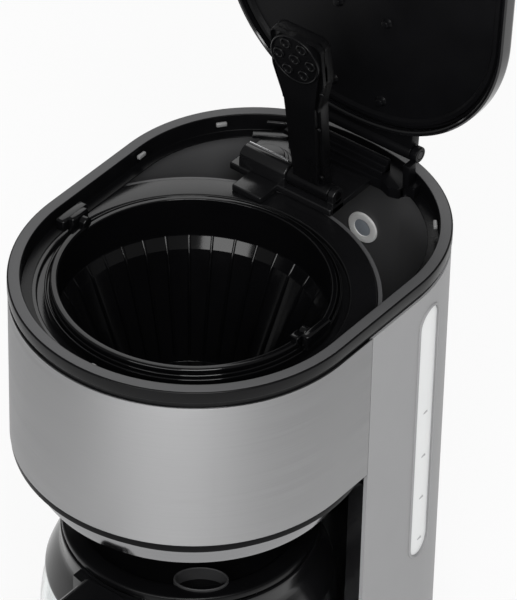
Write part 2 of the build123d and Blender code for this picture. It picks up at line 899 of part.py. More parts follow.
with BuildPart() as lid_pins:
    for start in (-lug_inner_x - lug_width, knuckle_inner_x):
        with BuildSketch(hinge_side.offset(start)):
            Circle(lid_pin_radius)
        extrude(amount=lug_inner_x + lug_width - knuckle_inner_x)
save(lid_pins, "lid_pins")

# Bridge that carries the spray arm: water barrel on the left, a lug on the right
arm_side = Plane(origin=(0, arm_pivot_y, arm_pivot_z), x_dir=(0, 1, 0), z_dir=(1, 0, 0))
arm_lug_x = arm_width / 2 + moving_gap
bridge_right = arm_lug_x + arm_lug_width
pad_front_y = basket_ring + bridge_front_gap
bridge_front_y = arm_pivot_y - barrel_radius - bridge_lip
duct_back_y = hose_y + duct_back
duct_top = arm_pivot_z + duct_rise
bridge_bearings = [(barrel_left, -arm_lug_x, barrel_radius), (arm_lug_x, bridge_right, arm_half_height)]

with BuildPart() as arm_bridge:
    with BuildSketch(Plane.XY.offset(band_top)):
        with Locations(((bridge_left + bridge_right) / 2, (bridge_front_y + bridge_back_y) / 2)):
            Rectangle(bridge_right - bridge_left, bridge_back_y - bridge_front_y)
        with Locations(((pad_left + pad_right) / 2, (pad_front_y + arm_pivot_y) / 2)):
            Rectangle(pad_right - pad_left, arm_pivot_y - pad_front_y)
        add(plan(ledge_inner + seat_fit), mode=Mode.INTERSECT)
    extrude(amount=bridge_thickness)
    with Locations((-hose_x, (arm_pivot_y + duct_back_y) / 2, band_top)):
        Box(
            2 * duct_half_width,
            duct_back_y - arm_pivot_y,
            duct_top - band_top,
            align=(Align.CENTER, Align.CENTER, Align.MIN),
        )
    fillet(arm_bridge.faces().sort_by(Axis.Z)[-1].edges().sort_by(Axis.Y)[1:], duct_round)
    for left, right, radius in bridge_bearings:
        with BuildSketch(arm_side.offset(left)):
            Circle(radius)
        extrude(amount=right - left)
        with Locations(((left + right) / 2, arm_pivot_y, band_top)):
            Box(
                right - left,
                2 * radius,
                arm_pivot_z - band_top,
                align=(Align.CENTER, Align.CENTER, Align.MIN),
            )
    with BuildSketch(arm_side.offset(-arm_lug_x - pin_in_barrel)):
        Circle(arm_pin_radius + pin_fit)
    extrude(amount=half_width, mode=Mode.SUBTRACT)
    with BuildSketch(Plane.XY.offset(band_top)):
        with Locations((-hose_x, hose_y)):
            Circle(spigot_radius)
    extrude(amount=-hose_grip)
    with BuildSketch(Plane.XY.offset(arm_pivot_z - arm_half_height)):
        with Locations((-hose_x, hose_y)):
            Circle(spigot_bore)
    extrude(amount=-2 * hose_grip, mode=Mode.SUBTRACT)
save(arm_bridge, "arm_bridge")

with BuildPart() as arm_pin:
    with BuildSketch(arm_side.offset(-arm_lug_x - pin_in_barrel + seat_fit)):
        Circle(arm_pin_radius)
    extrude(amount=2 * arm_lug_x + pin_in_barrel + arm_lug_width - seat_fit)
save(arm_pin, "arm_pin")

# Spray arm, built along its raised direction
arm_plane = swung_plane(arm_pivot_y, arm_pivot_z, arm_raise_angle)
arm_shell_face = arm_shell_height - arm_half_height
plate_start = arm_half_height + spray_plate_setback
plate_waist = arm_waist_width - 2 * arm_edge
nozzle_points = [(0, arm_length)]
for corner in range(6):
    turn = radians(60 * corner)
    nozzle_points.append((nozzle_pitch * cos(turn), arm_length + nozzle_pitch * sin(turn)))

with BuildPart() as spray_arm:
    with BuildSketch(arm_plane.offset(-arm_half_height)):
        add(taper(0, arm_neck_width, arm_waist, arm_waist_width))
        add(taper(arm_waist, arm_waist_width, arm_length - arm_head_end, arm_head_width))
        with Locations((0, arm_length)):
            RectangleRounded(arm_head_width, 2 * arm_head_end, arm_head_end / 3)
    extrude(amount=arm_shell_height)
    with BuildSketch(arm_side):
        Circle(arm_half_height)
    extrude(amount=arm_width / 2, both=True)
    with BuildSketch(arm_plane.offset(arm_shell_face)):
        with Locations((0, (arm_length + 2 * plate_start) / 2)):
            Rectangle(arm_channel_width, arm_length - 2 * plate_start)
        with Locations((0, arm_length)):
            Circle(spray_chamber_radius)
    extrude(amount=-arm_channel_depth, mode=Mode.SUBTRACT)
    with BuildSketch(arm_side):
        Circle(arm_pin_radius + pin_fit)
    extrude(amount=arm_width, both=True, mode=Mode.SUBTRACT)
save(spray_arm, "spray_arm")

with BuildPart() as spray_plate:
    with BuildSketch(arm_plane.offset(arm_shell_face)):
        add(taper(plate_start, arm_neck_width - 2 * arm_edge, arm_waist, plate_waist))
        add(taper(arm_waist, plate_waist, arm_length, 2 * (spray_radius - arm_edge)))
        with Locations((0, arm_length)):
            Circle(spray_radius)
    extrude(amount=arm_half_height - arm_shell_face)
    with BuildSketch(arm_plane.offset(arm_half_height)):
        with Locations(*nozzle_points):
            Circle(nozzle_radius + nozzle_rim)
    extrude(amount=nozzle_rim_height)
    with BuildSketch(arm_plane):
        with Locations(*nozzle_points):
            Circle(nozzle_radius)
    extrude(amount=2 * arm_half_height, mode=Mode.SUBTRACT)
save(spray_plate, "spray_plate")

# Lid, built along its open direction
lid_plane = swung_plane(hinge_y, hinge_z, lid_open_angle)
lid_axis = Axis((0, 0, 0), lid_plane.z_dir)
lid_underside = hinge_z - lid_bottom
lid_height = lid_edge_height + lid_crown
lid_place = Location((0, hinge_y, 0), (0, 0, 180))
liner_face = lid_underside - liner_drop
web_top = liner_face - liner_thickness - moving_gap
peg_points = [(x, hinge_y - y) for x in (-peg_x, peg_x) for y in (peg_front_y, peg_back_y)]

with BuildPart() as lid_cover:
    with BuildSketch(lid_plane.offset(lid_underside)):
        with Locations(lid_place):
            add(plan(lid_inset, lid_setback))
    extrude(amount=-lid_height)
    fillet(lid_cover.faces().sort_by(lid_axis)[0].outer_wire().edges(), lid_round)
    with BuildSketch(lid_plane.offset(lid_underside)):
        with Locations(lid_place):
            add(plan(lid_inset + lid_wall, lid_setback))
    extrude(amount=lid_wall - lid_height, mode=Mode.SUBTRACT)
    with BuildSketch(hinge_side):
        Circle(knuckle_radius)
    extrude(amount=knuckle_outer_x, both=True)
    with BuildSketch(lid_plane.offset(-web_depth)):
        with Locations((0, web_reach / 2)):
            Rectangle(2 * knuckle_outer_x, web_reach)
    extrude(amount=web_depth + web_top)
    with BuildSketch(hinge_side):
        Circle(lid_pin_radius + pin_fit)
    extrude(amount=half_width, both=True, mode=Mode.SUBTRACT)
save(lid_cover, "lid_cover")

with BuildPart() as lid_liner:
    with BuildSketch(lid_plane.offset(liner_face)):
        with Locations(lid_place):
            add(plan(lid_inset + lid_wall + seat_fit, lid_setback))
    extrude(amount=-liner_thickness)
    with BuildSketch(lid_plane.offset(liner_face)):
        with Locations(*peg_points):
            Circle(peg_radius)
    extrude(amount=peg_height)
save(lid_liner, "lid_liner")

# Filter basket with its flutes, ears and outlet
inner_floor = basket_floor + basket_floor_thickness
inner_floor_radius = basket_floor_radius - basket_wall
wall_rise = basket_step_bottom - inner_floor


def basket_inner(z):
    """Radius of the basket's inner wall at a height below the step."""
    return inner_floor_radius + (basket_step_radius - inner_floor_radius) * (z - inner_floor) / wall_rise


flute_top = basket_ring_top - flute_top_drop
flute_bottom = inner_floor + flute_floor_gap
with BuildPart() as flute:
    with BuildSketch(Plane.XZ):
        add(
            polygon(
                [
                    (basket_inner(flute_bottom) + basket_wall / 2, flute_bottom),
                    (basket_inner(flute_top) + basket_wall / 2, flute_top),
                    (basket_inner(flute_top) - flute_depth, flute_top - flute_depth),
                    (basket_inner(flute_bottom) - flute_depth, flute_bottom),
                ]
            )
        )
    extrude(amount=flute_width / 2, both=True)

ear_inner = bail_outer + moving_gap
bail_side = Plane(origin=(0, 0, bail_pivot_z), x_dir=(0, 1, 0), z_dir=(1, 0, 0))
with BuildPart() as filter_basket:
    with BuildSketch(Plane.XZ):
        add(
            polygon(
                [
                    (drip_hole_radius, basket_floor),
                    (basket_floor_radius, basket_floor),
                    (basket_step_radius + basket_wall, basket_step_bottom),
                    (basket_body_radius, basket_step_top),
                    (basket_body_radius, basket_ring_bottom),
                    (basket_ring, basket_ring_bottom),
                    (basket_ring, basket_ring_top),
                    (basket_mouth, basket_ring_top),
                    (basket_mouth, basket_step_top),
                    (basket_step_radius, basket_step_bottom),
                    (inner_floor_radius, inner_floor),
                    (drip_hole_radius, inner_floor),
                ]
            )
        )
        add(
            polygon(
                [
                    (valve_stem_radius + moving_gap, outlet_bottom),
                    (outlet_bore + outlet_wall, outlet_bottom),
                    (outlet_bore + outlet_wall, basket_floor),
                    (outlet_bore, basket_floor),
                    (outlet_bore, lip_top),
                    (valve_stem_radius + moving_gap, lip_top),
                ]
            )
        )
    revolve(axis=Axis.Z)
    with PolarLocations(0, flute_count):
        add(flute.part)
    for side in (-1, 1):
        with Locations((side * (ear_inner + ear_thickness / 2), 0, basket_ring_top - basket_ring_height / 2)):
            Box(
                ear_thickness,
                ear_length,
                ear_height + basket_ring_height / 2,
                align=(Align.CENTER, Align.CENTER, Align.MIN),
            )
    with Locations((-ear_inner - ear_thickness, 0, basket_ring_top + moving_gap)):
        Box(
            ear_tab_reach,
            ear_tab_length,
            ear_height - ear_tab_drop - moving_gap,
            align=(Align.MAX, Align.CENTER, Align.MIN),
        )
    with BuildSketch(bail_side):
        Circle(bail_pin_radius + pin_fit)
    extrude(amount=half_width, both=True, mode=Mode.SUBTRACT)
save(filter_basket, "filter_basket")

bail_inner = bail_outer - bail_width
with BuildPart() as basket_bail:
    with BuildSketch(Plane.XY.offset(bail_pivot_z - bail_pivot_height + moving_gap)):
        Circle(bail_outer)
        Circle(bail_inner, mode=Mode.SUBTRACT)
        add(half_plane(0, front=False), mode=Mode.SUBTRACT)
    extrude(amount=bail_thickness)
    for side in (-1, 1):
        with BuildSketch(bail_side.offset(side * bail_inner)):
            Circle(bail_eye_radius)
        extrude(amount=side * bail_width)
        with BuildSketch(bail_side.offset(side * bail_outer)):
            Circle(bail_pin_radius)
        extrude(amount=side * bail_pin_length)
save(basket_bail, "basket_bail")

piston_bottom = lip_top + moving_gap
piston_top = piston_bottom + piston_height
piston_radius = outlet_bore - moving_gap
with BuildPart() as drip_valve:
    with BuildSketch(Plane.XZ):
        add(
            polygon(
                [
                    (0, valve_tip),
                    (valve_stem_radius, valve_tip),
                    (valve_stem_radius, piston_bottom),
                    (piston_radius, piston_bottom),
                    (piston_radius, piston_top),
                    (0, piston_top),
                ]
            )
        )
    revolve(axis=Axis.Z)
save(drip_valve, "drip_valve")

with BuildPart() as valve_seal:
    with BuildSketch(Plane.XY.offset(piston_top)):
        Circle(piston_radius - seal_setback)
    extrude(amount=seal_height)
save(valve_seal, "valve_seal")

spring_radius = piston_radius - spring_setback
with BuildPart() as valve_spring:
    with BuildSketch(Plane.XY.offset(piston_top)):
        Circle(spring_radius)
        Circle(spring_radius - spring_wire, mode=Mode.SUBTRACT)
    extrude(amount=basket_floor - piston_top)
save(valve_spring, "valve_spring")

# Carafe: glass, wide collar, handle and its screw, lid
inner_bottom = carafe_bottom + glass_wall
belly_z = carafe_bottom + carafe_belly_rise


def jug(bottom, growth):
    """Half section of the jug, grown sideways: a straight foot, a round belly and a straight neck."""
    foot = carafe_foot_radius + growth
    belly = carafe_belly_radius + growth
    neck = carafe_neck_radius + growth
    with BuildSketch() as section:
        with BuildLine():
            Line((0, bottom), (foot, bottom))
            TangentArc((belly, belly_z), (foot, bottom), tangent=(0, -1))
            TangentArc((belly, belly_z), (neck, carafe_neck_z), tangent=(0, 1))
            Line((neck, carafe_neck_z), (neck, carafe_lip))
            Line((neck, carafe_lip), (0, carafe_lip))
            Line((0, carafe_lip), (0, bottom))
        make_face()
        fillet(section.vertices().group_by(Axis.Y)[0].sort_by(Axis.X)[-1], carafe_heel)
    return section.sketch


with BuildPart() as carafe_glass:
    with BuildSketch(Plane.XZ):
        add(jug(carafe_bottom, 0))
        add(jug(inner_bottom, -glass_wall), mode=Mode.SUBTRACT)
    revolve(axis=Axis.Z)
save(carafe_glass, "carafe_glass")

collar_top = carafe_lip - collar_drop
collar_outer = carafe_neck_radius + seat_fit + collar_sheet
with BuildPart() as carafe_collar:
    with BuildSketch(Plane.XZ):
        add(jug(carafe_bottom, seat_fit + collar_sheet))
        add(jug(carafe_bottom, seat_fit), mode=Mode.SUBTRACT)
        with Locations((0, collar_top - collar_height / 2)):
            Rectangle(4 * carafe_belly_radius, collar_height, mode=Mode.INTERSECT)
    revolve(axis=Axis.Z)
save(carafe_collar, "carafe_collar")

handle_z = collar_top - bracket_pad_height / 2
handle_start = collar_outer + bracket_pad / 2
handle_end = collar_outer + handle_reach
pad_width = handle_width + 2 * bracket_pad
handle_under = handle_z - handle_thickness / 2
handle_screw_y = -(handle_start + handle_end) / 2
with BuildPart() as carafe_handle:
    start = (0, -handle_start, handle_z)
    with BuildLine() as handle_line:
        FilletPolyline(
            start,
            (0, -handle_end, handle_z),
            (0, -handle_end, handle_z - handle_drop),
            radius=handle_bend_radius,
        )
    with BuildSketch(Plane(origin=start, x_dir=(1, 0, 0), z_dir=(0, -1, 0))):
        RectangleRounded(handle_width, handle_thickness, handle_edge)
    sweep(path=handle_line.line)
    with BuildSketch(Plane.XY.offset(collar_top - bracket_pad_height)):
        Circle(collar_outer + bracket_pad)
        Circle(collar_outer + seat_fit, mode=Mode.SUBTRACT)
        with Locations((0, -half_width)):
            Rectangle(pad_width, 2 * half_width, mode=Mode.INTERSECT)
    extrude(amount=bracket_pad_height)
    with BuildSketch(Plane.XY.offset(handle_under)):
        with Locations((0, handle_screw_y)):
            Circle(handle_screw_radius + pin_fit)
    extrude(amount=handle_screw_depth + moving_gap, mode=Mode.SUBTRACT)
save(carafe_handle, "carafe_handle")

with BuildPart() as handle_screw:
    with BuildSketch(Plane.XY.offset(handle_under - screw_head_height)):
        with Locations((0, handle_screw_y)):
            Circle(handle_screw_head)
    extrude(amount=screw_head_height)
    with BuildSketch(Plane.XY.offset(handle_under)):
        with Locations((0, handle_screw_y)):
            Circle(handle_screw_radius)
    extrude(amount=handle_screw_depth)
save(handle_screw, "handle_screw")

plug_radius = carafe_neck_radius - glass_wall - moving_gap
lid_floor_bottom = dish_floor - carafe_lid_floor
with BuildPart() as carafe_lid:
    with BuildSketch(Plane.XZ):
        add(
            polygon(
                [
                    (hub_foot_radius - carafe_lid_floor, lid_floor_bottom),
                    (plug_radius - plug_wall, lid_floor_bottom),
                    (plug_radius - plug_wall, carafe_lid_bottom - plug_depth),
                    (plug_radius, carafe_lid_bottom - plug_depth),
                    (plug_radius, carafe_lid_bottom),
                    (carafe_neck_radius + carafe_lid_overhang, carafe_lid_bottom),
                    (carafe_neck_radius + carafe_lid_overhang, carafe_lid_top),
                    (carafe_dish_radius, carafe_lid_top),
                    (carafe_dish_radius, dish_floor),
                    (hub_foot_radius, dish_floor),
                    (hub_top_radius, hub_top),
                    (hub_hole_radius, hub_top),
                    (hub_hole_radius, hub_top - carafe_lid_floor),
                    (hub_top_radius - carafe_lid_floor, hub_top - carafe_lid_floor),
                ]
            )
        )
    revolve(axis=Axis.Z)
    with BuildSketch(Plane.XY.offset(lid_floor_bottom)):
        with Locations((vent_x, vent_y)):
            Circle(vent_radius)
    extrude(amount=carafe_lid_top + vent_rise - lid_floor_bottom)
    with BuildSketch(Plane.XY.offset(dish_floor)):
        with Locations((vent_x, vent_y)):
            Circle(vent_radius - vent_wall)
    extrude(amount=2 * carafe_dish_depth, mode=Mode.SUBTRACT)
save(carafe_lid, "carafe_lid")

# Switch, lamp and cord bush in the base
front_plane = Plane(origin=(0, -half_width, button_z), x_dir=(1, 0, 0), z_dir=(0, 1, 0))
flange_front = base_wall + button_flange_gap
button_back = button_depth - button_proud
stem_end = button_back + button_travel
with BuildPart() as power_button:
    with BuildSketch(front_plane.offset(-button_proud)):
        Circle(button_radius)
    extrude(amount=button_depth)
    fillet(power_button.faces().sort_by(Axis.Y)[0].edges(), button_proud / 2)
    with BuildSketch(front_plane.offset(flange_front)):
        Circle(button_radius + button_flange)
    extrude(amount=button_flange_height)
    with BuildSketch(front_plane.offset(button_back)):
        Circle(button_radius / 3)
    extrude(amount=button_travel)
save(power_button, "power_button")

switch_front = stem_end + button_travel + moving_gap
with BuildPart() as switch_body:
    with Locations((0, switch_front - half_width, base_floor)):
        Box(
            switch_width,
            switch_depth,
            button_z + button_radius - base_floor,
            align=(Align.CENTER, Align.MIN, Align.MIN),
        )
save(switch_body, "switch_body")

lamp_front = half_width - sqrt(half_width**2 - lamp_offset**2) - lamp_proud
with BuildPart() as lamp_lens:
    with BuildSketch(front_plane.offset(lamp_front)):
        with Locations((lamp_offset, 0)):
            Circle(lamp_radius)
    extrude(amount=lamp_depth)
    fillet(lamp_lens.faces().sort_by(Axis.Y)[0].edges(), lamp_round)
save(lamp_lens, "lamp_lens")

with BuildPart() as cord_bush:
    with BuildSketch(bush_plane):
        Circle(bush_flange)
    extrude(amount=bush_flange_height)
    chamfer(cord_bush.faces().sort_by(Axis.Y)[-1].edges(), bush_flange_height / 3)
    with BuildSketch(bush_plane):
        Circle(bush_radius)
    extrude(amount=-bush_length)
    with BuildSketch(bush_plane.offset(-bush_length)):
        Circle(bush_bore)
    extrude(amount=2 * bush_length, mode=Mode.SUBTRACT)
save(cord_bush, "cord_bush")
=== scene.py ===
from math import atan2, cos, degrees, pi, radians, remainder, sin, sqrt, tan

import bmesh
import bpy
from mathutils import Matrix, Vector


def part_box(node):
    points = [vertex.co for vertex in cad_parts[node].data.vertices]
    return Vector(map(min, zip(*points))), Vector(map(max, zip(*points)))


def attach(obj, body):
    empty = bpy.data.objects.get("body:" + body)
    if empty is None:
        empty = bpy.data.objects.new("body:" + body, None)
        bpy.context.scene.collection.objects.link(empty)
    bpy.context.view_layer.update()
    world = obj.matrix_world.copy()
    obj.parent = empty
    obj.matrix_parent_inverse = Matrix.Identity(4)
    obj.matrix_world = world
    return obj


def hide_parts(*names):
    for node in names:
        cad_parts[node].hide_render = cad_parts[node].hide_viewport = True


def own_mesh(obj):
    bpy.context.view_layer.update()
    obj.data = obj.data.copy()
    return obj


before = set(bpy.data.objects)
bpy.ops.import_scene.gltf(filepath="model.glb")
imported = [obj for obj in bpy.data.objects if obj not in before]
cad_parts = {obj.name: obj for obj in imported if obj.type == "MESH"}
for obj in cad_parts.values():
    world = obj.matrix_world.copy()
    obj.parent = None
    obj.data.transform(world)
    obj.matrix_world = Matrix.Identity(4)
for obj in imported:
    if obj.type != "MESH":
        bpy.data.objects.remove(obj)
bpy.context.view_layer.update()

# Shapes are worked out in millimetres and scaled to metres when a piece is made.
# The Z axis is the brew axis, +X the side with the window, -Y the front.
MM = 0.001


def span(node):
    """Lowest and highest corner of a CAD node, in millimetres."""
    return tuple(Vector(corner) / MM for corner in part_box(node))


# Body plan, as in the CAD model
half_width = span("outer_shell")[1].x
back_apex = span("outer_shell")[1].y
side_length = 62.0
corner_x = 9.0
back_flatness = 37.0
corner_radius = half_width - corner_x
back_radius = half_width + back_flatness
back_y = back_apex - back_radius
corner_sweep = degrees(atan2(side_length - back_y, corner_x))
band_end_y = span("front_band")[1].y

# Heights taken from the frame
skirt_bottom = span("head_skirt")[0].z
head_floor = span("brew_head")[0].z
band_bottom = span("front_band")[0].z
band_top = span("front_band")[1].z
rim_top = span("top_rim")[1].z
outlet_bottom = span("filter_basket")[0].z

# Fits and small edge radii
gap = 0.3
hair_edge = 0.1
crisp_edge = 0.2
thin_edge = 0.3
fine_edge = 0.4
plain_edge = 0.5
worn_edge = 0.6
soft_edge = 0.8
round_edge = 1.2

# Rim
rim_overhang = 0.3
rim_recess = 1.2
rim_inner = 6.2
ledge_inner = 11.8
ledge_top = band_top + 4.0

# Hinges
hinge_y = half_width + side_length - 18.5
hinge_z = rim_top + 9.6
lid_open_angle = 92.7
arm_pivot_y = half_width + 4.0
arm_pivot_z = 314.0
arm_raise_angle = 82.0


# Mesh helpers: each returns a bmesh in millimetres


def arc(centre, radius, start, sweep, steps):
    """Points along an arc, both ends included, with angles in degrees."""
    turns = [radians(start + sweep * i / steps) for i in range(steps + 1)]
    return [(centre[0] + radius * cos(turn), centre[1] + radius * sin(turn)) for turn in turns]


def rounded(corners, steps=4):
    """A closed outline from corners (x, y, radius), each corner turned into an arc."""
    points = []
    for i, (x, y, radius) in enumerate(corners):
        if radius == 0:
            points.append((x, y))
            continue
        corner = Vector((x, y))
        before = (Vector(corners[i - 1][:2]) - corner).normalized()
        after = (Vector(corners[(i + 1) % len(corners)][:2]) - corner).normalized()
        half = before.angle(after) / 2
        centre = corner + (before + after).normalized() * (radius / sin(half))
        start = corner + before * (radius / tan(half)) - centre
        end = corner + after * (radius / tan(half)) - centre
        first = atan2(start.y, start.x)
        sweep = remainder(atan2(end.y, end.x) - first, 2 * pi)
        points += arc(centre, radius, degrees(first), degrees(sweep), steps)
    return points


def skin(rings, closed):
    """A mesh through closed rings of points; the first and last ring are joined or capped."""
    mesh = bmesh.new()
    rows = [[mesh.verts.new(point) for point in ring] for ring in rings]
    pairs = list(zip(rows, rows[1:]))
    if closed:
        pairs.append((rows[-1], rows[0]))
    else:
        mesh.faces.new(rows[0])
        mesh.faces.new(rows[-1][::-1])
    count = len(rings[0])
    for near, far in pairs:
        for i in range(count):
            j = (i + 1) % count
            mesh.faces.new((near[i], near[j], far[j], far[i]))
    return mesh


def lathe(outline, start=0.0, sweep=360.0, steps=120):
    """A closed outline of (radius, height) turned about the Z axis."""
    full = sweep == 360.0
    turns = [radians(start + sweep * i / steps) for i in range(steps if full else steps + 1)]
    return skin([[(r * cos(t), r * sin(t), z) for r, z in outline] for t in turns], full)


def disc_stack(outline, steps=48):
    """A solid of round slices (radius, height), closed flat at both ends."""
    rings = []
    for radius, z in outline:
        rings.append([(x, y, z) for x, y in arc((0, 0), radius, 0, 360, steps)[:-1]])
    return skin(rings, False)


def block(low, high, radius, segments=3):
    """A box between two corners with rounded edges."""
    mesh = bmesh.new()
    size = Vector(high) - Vector(low)
    middle = (Vector(high) + Vector(low)) / 2
    bmesh.ops.create_cube(mesh, size=1, matrix=Matrix.Translation(middle) @ Matrix.Diagonal((*size, 1)))
    bmesh.ops.bevel(mesh, geom=mesh.edges[:], offset=radius, segments=segments, profile=0.5, affect="EDGES")
    return mesh


def prism(outline, low, high, radius, segments=3):
    """An outline pulled up from one height to another, with its top and bottom edges rounded."""
    mesh = bmesh.new()
    rows = [[mesh.verts.new((x, y, z)) for x, y in outline] for z in (low, high)]
    caps = [mesh.faces.new(rows[0][::-1]), mesh.faces.new(rows[1])]
    edges = list({edge for cap in caps for edge in cap.edges})
    for i in range(len(outline)):
        j = (i + 1) % len(outline)
        mesh.faces.new((rows[0][i], rows[0][j], rows[1][j], rows[1][i]))
    bmesh.ops.bevel(mesh, geom=edges, offset=radius, segments=segments, profile=0.5, affect="EDGES")
    return mesh


def placed(mesh, matrix):
    """The same mesh, moved."""
    bmesh.ops.transform(mesh, matrix=matrix, verts=mesh.verts)
    return mesh


def along_x(left, right, y, z, radius, edge=fine_edge, bore=0.0):
    """A round bar along X with rounded rims, with a bore if one is given."""
    if bore:
        corners = [(bore, left), (radius, left), (radius, right), (bore, right)]
        bar = lathe(rounded([(*corner, edge) for corner in corners]), steps=48)
    else:
        left_rim = arc((radius - edge, left + edge), edge, -90, 90, 4)
        right_rim = arc((radius - edge, right - edge), edge, 0, 90, 4)
        bar = disc_stack(left_rim + right_rim)
    return placed(bar, Matrix.Translation((0, y, z)) @ Matrix.Rotation(pi / 2, 4, "Y"))


def plan_points(inset, setback=0.0):
    """The body's plan inside the outer skin; setback pulls the back forward."""
    side = half_width - inset
    corner = corner_radius - inset
    corner_y = side_length - setback
    back = 180 - 2 * corner_sweep
    points = arc((corner_x, corner_y), corner, 0, corner_sweep, 28)
    points += arc((0, back_y - setback), back_radius - inset, corner_sweep, back, 12)[1:]
    points += arc((-corner_x, corner_y), corner, 180 - corner_sweep, corner_sweep, 28)[1:]
    points += arc((0, 0), side, 180, 180, 72)
    return points


def plan_ring(outline, setback=0.0):
    """A closed outline of (inset, height) carried round the body's plan."""
    paths = [[(x, y, z) for x, y in plan_points(inset, setback)] for inset, z in outline]
    return skin([list(section) for section in zip(*paths)], True)


def plan_stack(outline, setback=0.0):
    """Plan slices (inset, height) joined into one solid, closed at both ends."""
    return skin([[(x, y, z) for x, y in plan_points(inset, setback)] for inset, z in outline], False)


def front_points(inset, end_y):
    """The front half of the plan, from the left seam round to the right seam."""
    side = half_width - inset
    return [(-side, end_y)] + arc((0, 0), side, 180, 180, 96) + [(side, end_y)]


def swung(y, z, angle):
    """Frame on a hinge axis: local Y runs along the swung piece, local Z to its underside."""
    swing = radians(angle)
    matrix = Matrix.Identity(4)
    matrix.col[1][:3] = (0, -cos(swing), sin(swing))
    matrix.col[2][:3] = (0, -sin(swing), -cos(swing))
    matrix.col[3][:3] = (0, y, z)
    return matrix


arm_frame = swung(arm_pivot_y, arm_pivot_z, arm_raise_angle)
lid_frame = swung(hinge_y, hinge_z, lid_open_angle)
# The lid's plan lies along local Y from the hinge, so it is turned half round
lid_place = lid_frame @ Matrix.Translation((0, hinge_y, 0)) @ Matrix.Rotation(pi, 4, "Z")

sharp_angle = radians(32)
noise_low = 0.3
noise_high = 0.7
flow_scale = 35.0
wave_scale = 18.0
grain_depth = 0.0002
streak_depth = 0.0001
wave_depth = 0.001


def piece(name, body, material, slot, meshes, *nodes):
    """One object from several meshes: scaled, shaded, riding on a body and standing for CAD nodes."""
    whole = bmesh.new()
    for part in meshes:
        scratch = bpy.data.meshes.new("scratch")
        part.to_mesh(scratch)
        part.free()
        whole.from_mesh(scratch)
        bpy.data.meshes.remove(scratch)
    bmesh.ops.scale(whole, vec=(MM, MM, MM), verts=whole.verts)
    bmesh.ops.recalc_face_normals(whole, faces=whole.faces)
    mesh = bpy.data.meshes.new(name)
    whole.to_mesh(mesh)
    whole.free()
    mesh.shade_smooth()
    mesh.set_sharp_from_angle(angle=sharp_angle)
    mesh.materials.append(material)
    obj = bpy.data.objects.new(name, mesh)
    bpy.context.scene.collection.objects.link(obj)
    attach(obj, body)
    if nodes:
        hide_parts(*nodes)
    return obj


# Materials


def shader(name):
    """A new material and its node tree, with the object's own coordinates ready."""
    material = bpy.data.materials.new(name)
    material.use_nodes = True
    tree = material.node_tree
    place = tree.nodes.new("ShaderNodeTexCoord").outputs["Object"]
    return material, tree, tree.nodes["Principled BSDF"], place


def noise(tree, place, scale, detail=3.0, stretch=None):
    """Noise of so many patches to the metre, stretched along the axes if asked."""
    if stretch:
        mapping = tree.nodes.new("ShaderNodeMapping")
        mapping.inputs["Scale"].default_value = stretch
        tree.links.new(place, mapping.inputs["Vector"])
        place = mapping.outputs["Vector"]
    texture = tree.nodes.new("ShaderNodeTexNoise")
    texture.inputs["Scale"].default_value = scale
    texture.inputs["Detail"].default_value = detail
    tree.links.new(place, texture.inputs["Vector"])
    return texture.outputs["Fac"]


def spread(tree, value, low, high):
    """A noise value mapped to a range."""
    mapped = tree.nodes.new("ShaderNodeMapRange")
    mapped.inputs["From Min"].default_value = noise_low
    mapped.inputs["From Max"].default_value = noise_high
    mapped.inputs["To Min"].default_value = low
    mapped.inputs["To Max"].default_value = high
    tree.links.new(value, mapped.inputs["Value"])
    return mapped.outputs["Result"]


def tint(tree, value, dark, light):
    """A noise value mapped to a colour between two others."""
    ramp = tree.nodes.new("ShaderNodeValToRGB")
    ramp.color_ramp.elements[0].position = noise_low
    ramp.color_ramp.elements[0].color = (*dark, 1)
    ramp.color_ramp.elements[1].position = noise_high
    ramp.color_ramp.elements[1].color = (*light, 1)
    tree.links.new(value, ramp.inputs["Fac"])
    return ramp.outputs["Color"]


def bump(tree, value, shader_node, strength, depth):
    """Noise as a fine relief, depth in metres."""
    relief = tree.nodes.new("ShaderNodeBump")
    relief.inputs["Strength"].default_value = strength
    relief.inputs["Distance"].default_value = depth
    tree.links.new(value, relief.inputs["Height"])
    tree.links.new(relief.outputs["Normal"], shader_node.inputs["Normal"])


def shade(colour, factor):
    """A colour made darker or lighter."""
    return tuple(channel * factor for channel in colour)


def plastic(name, colour, roughness, specular, grain=2500.0, relief=0.15, mottle=0.15):
    """Moulded plastic: slight flow marks in colour and gloss, and a fine moulded grain."""
    material, tree, surface, place = shader(name)
    flow = noise(tree, place, flow_scale)
    base = tint(tree, flow, shade(colour, 1 - mottle), shade(colour, 1 + mottle))
    gloss = spread(tree, flow, roughness * (1 - mottle), roughness * (1 + mottle))
    tree.links.new(base, surface.inputs["Base Color"])
    tree.links.new(gloss, surface.inputs["Roughness"])
    bump(tree, noise(tree, place, grain, 2.0), surface, relief, grain_depth)
    surface.inputs["Specular IOR Level"].default_value = specular
    return material


def metal(name, colour, roughness, stretch, relief=0.05, streak=0.07, brushed=0.0):
    """Metal with fine streaks, short along the axes of the stretch; brushed round Z if asked."""
    material, tree, surface, place = shader(name)
    streaks = noise(tree, place, 1.0, 4.0, stretch)
    base = tint(tree, streaks, shade(colour, 1 - streak), shade(colour, 1 + streak))
    gloss = spread(tree, streaks, roughness * 0.85, roughness * 1.15)
    tree.links.new(base, surface.inputs["Base Color"])
    tree.links.new(gloss, surface.inputs["Roughness"])
    bump(tree, streaks, surface, relief, streak_depth)
    surface.inputs["Metallic"].default_value = 1.0
    if brushed:
        tangent = tree.nodes.new("ShaderNodeTangent")
        tangent.direction_type = "RADIAL"
        tangent.axis = "Z"
        tree.links.new(tangent.outputs["Tangent"], surface.inputs["Tangent"])
        surface.inputs["Anisotropic"].default_value = brushed
        surface.inputs["Anisotropic Rotation"].default_value = 0.25
    return material


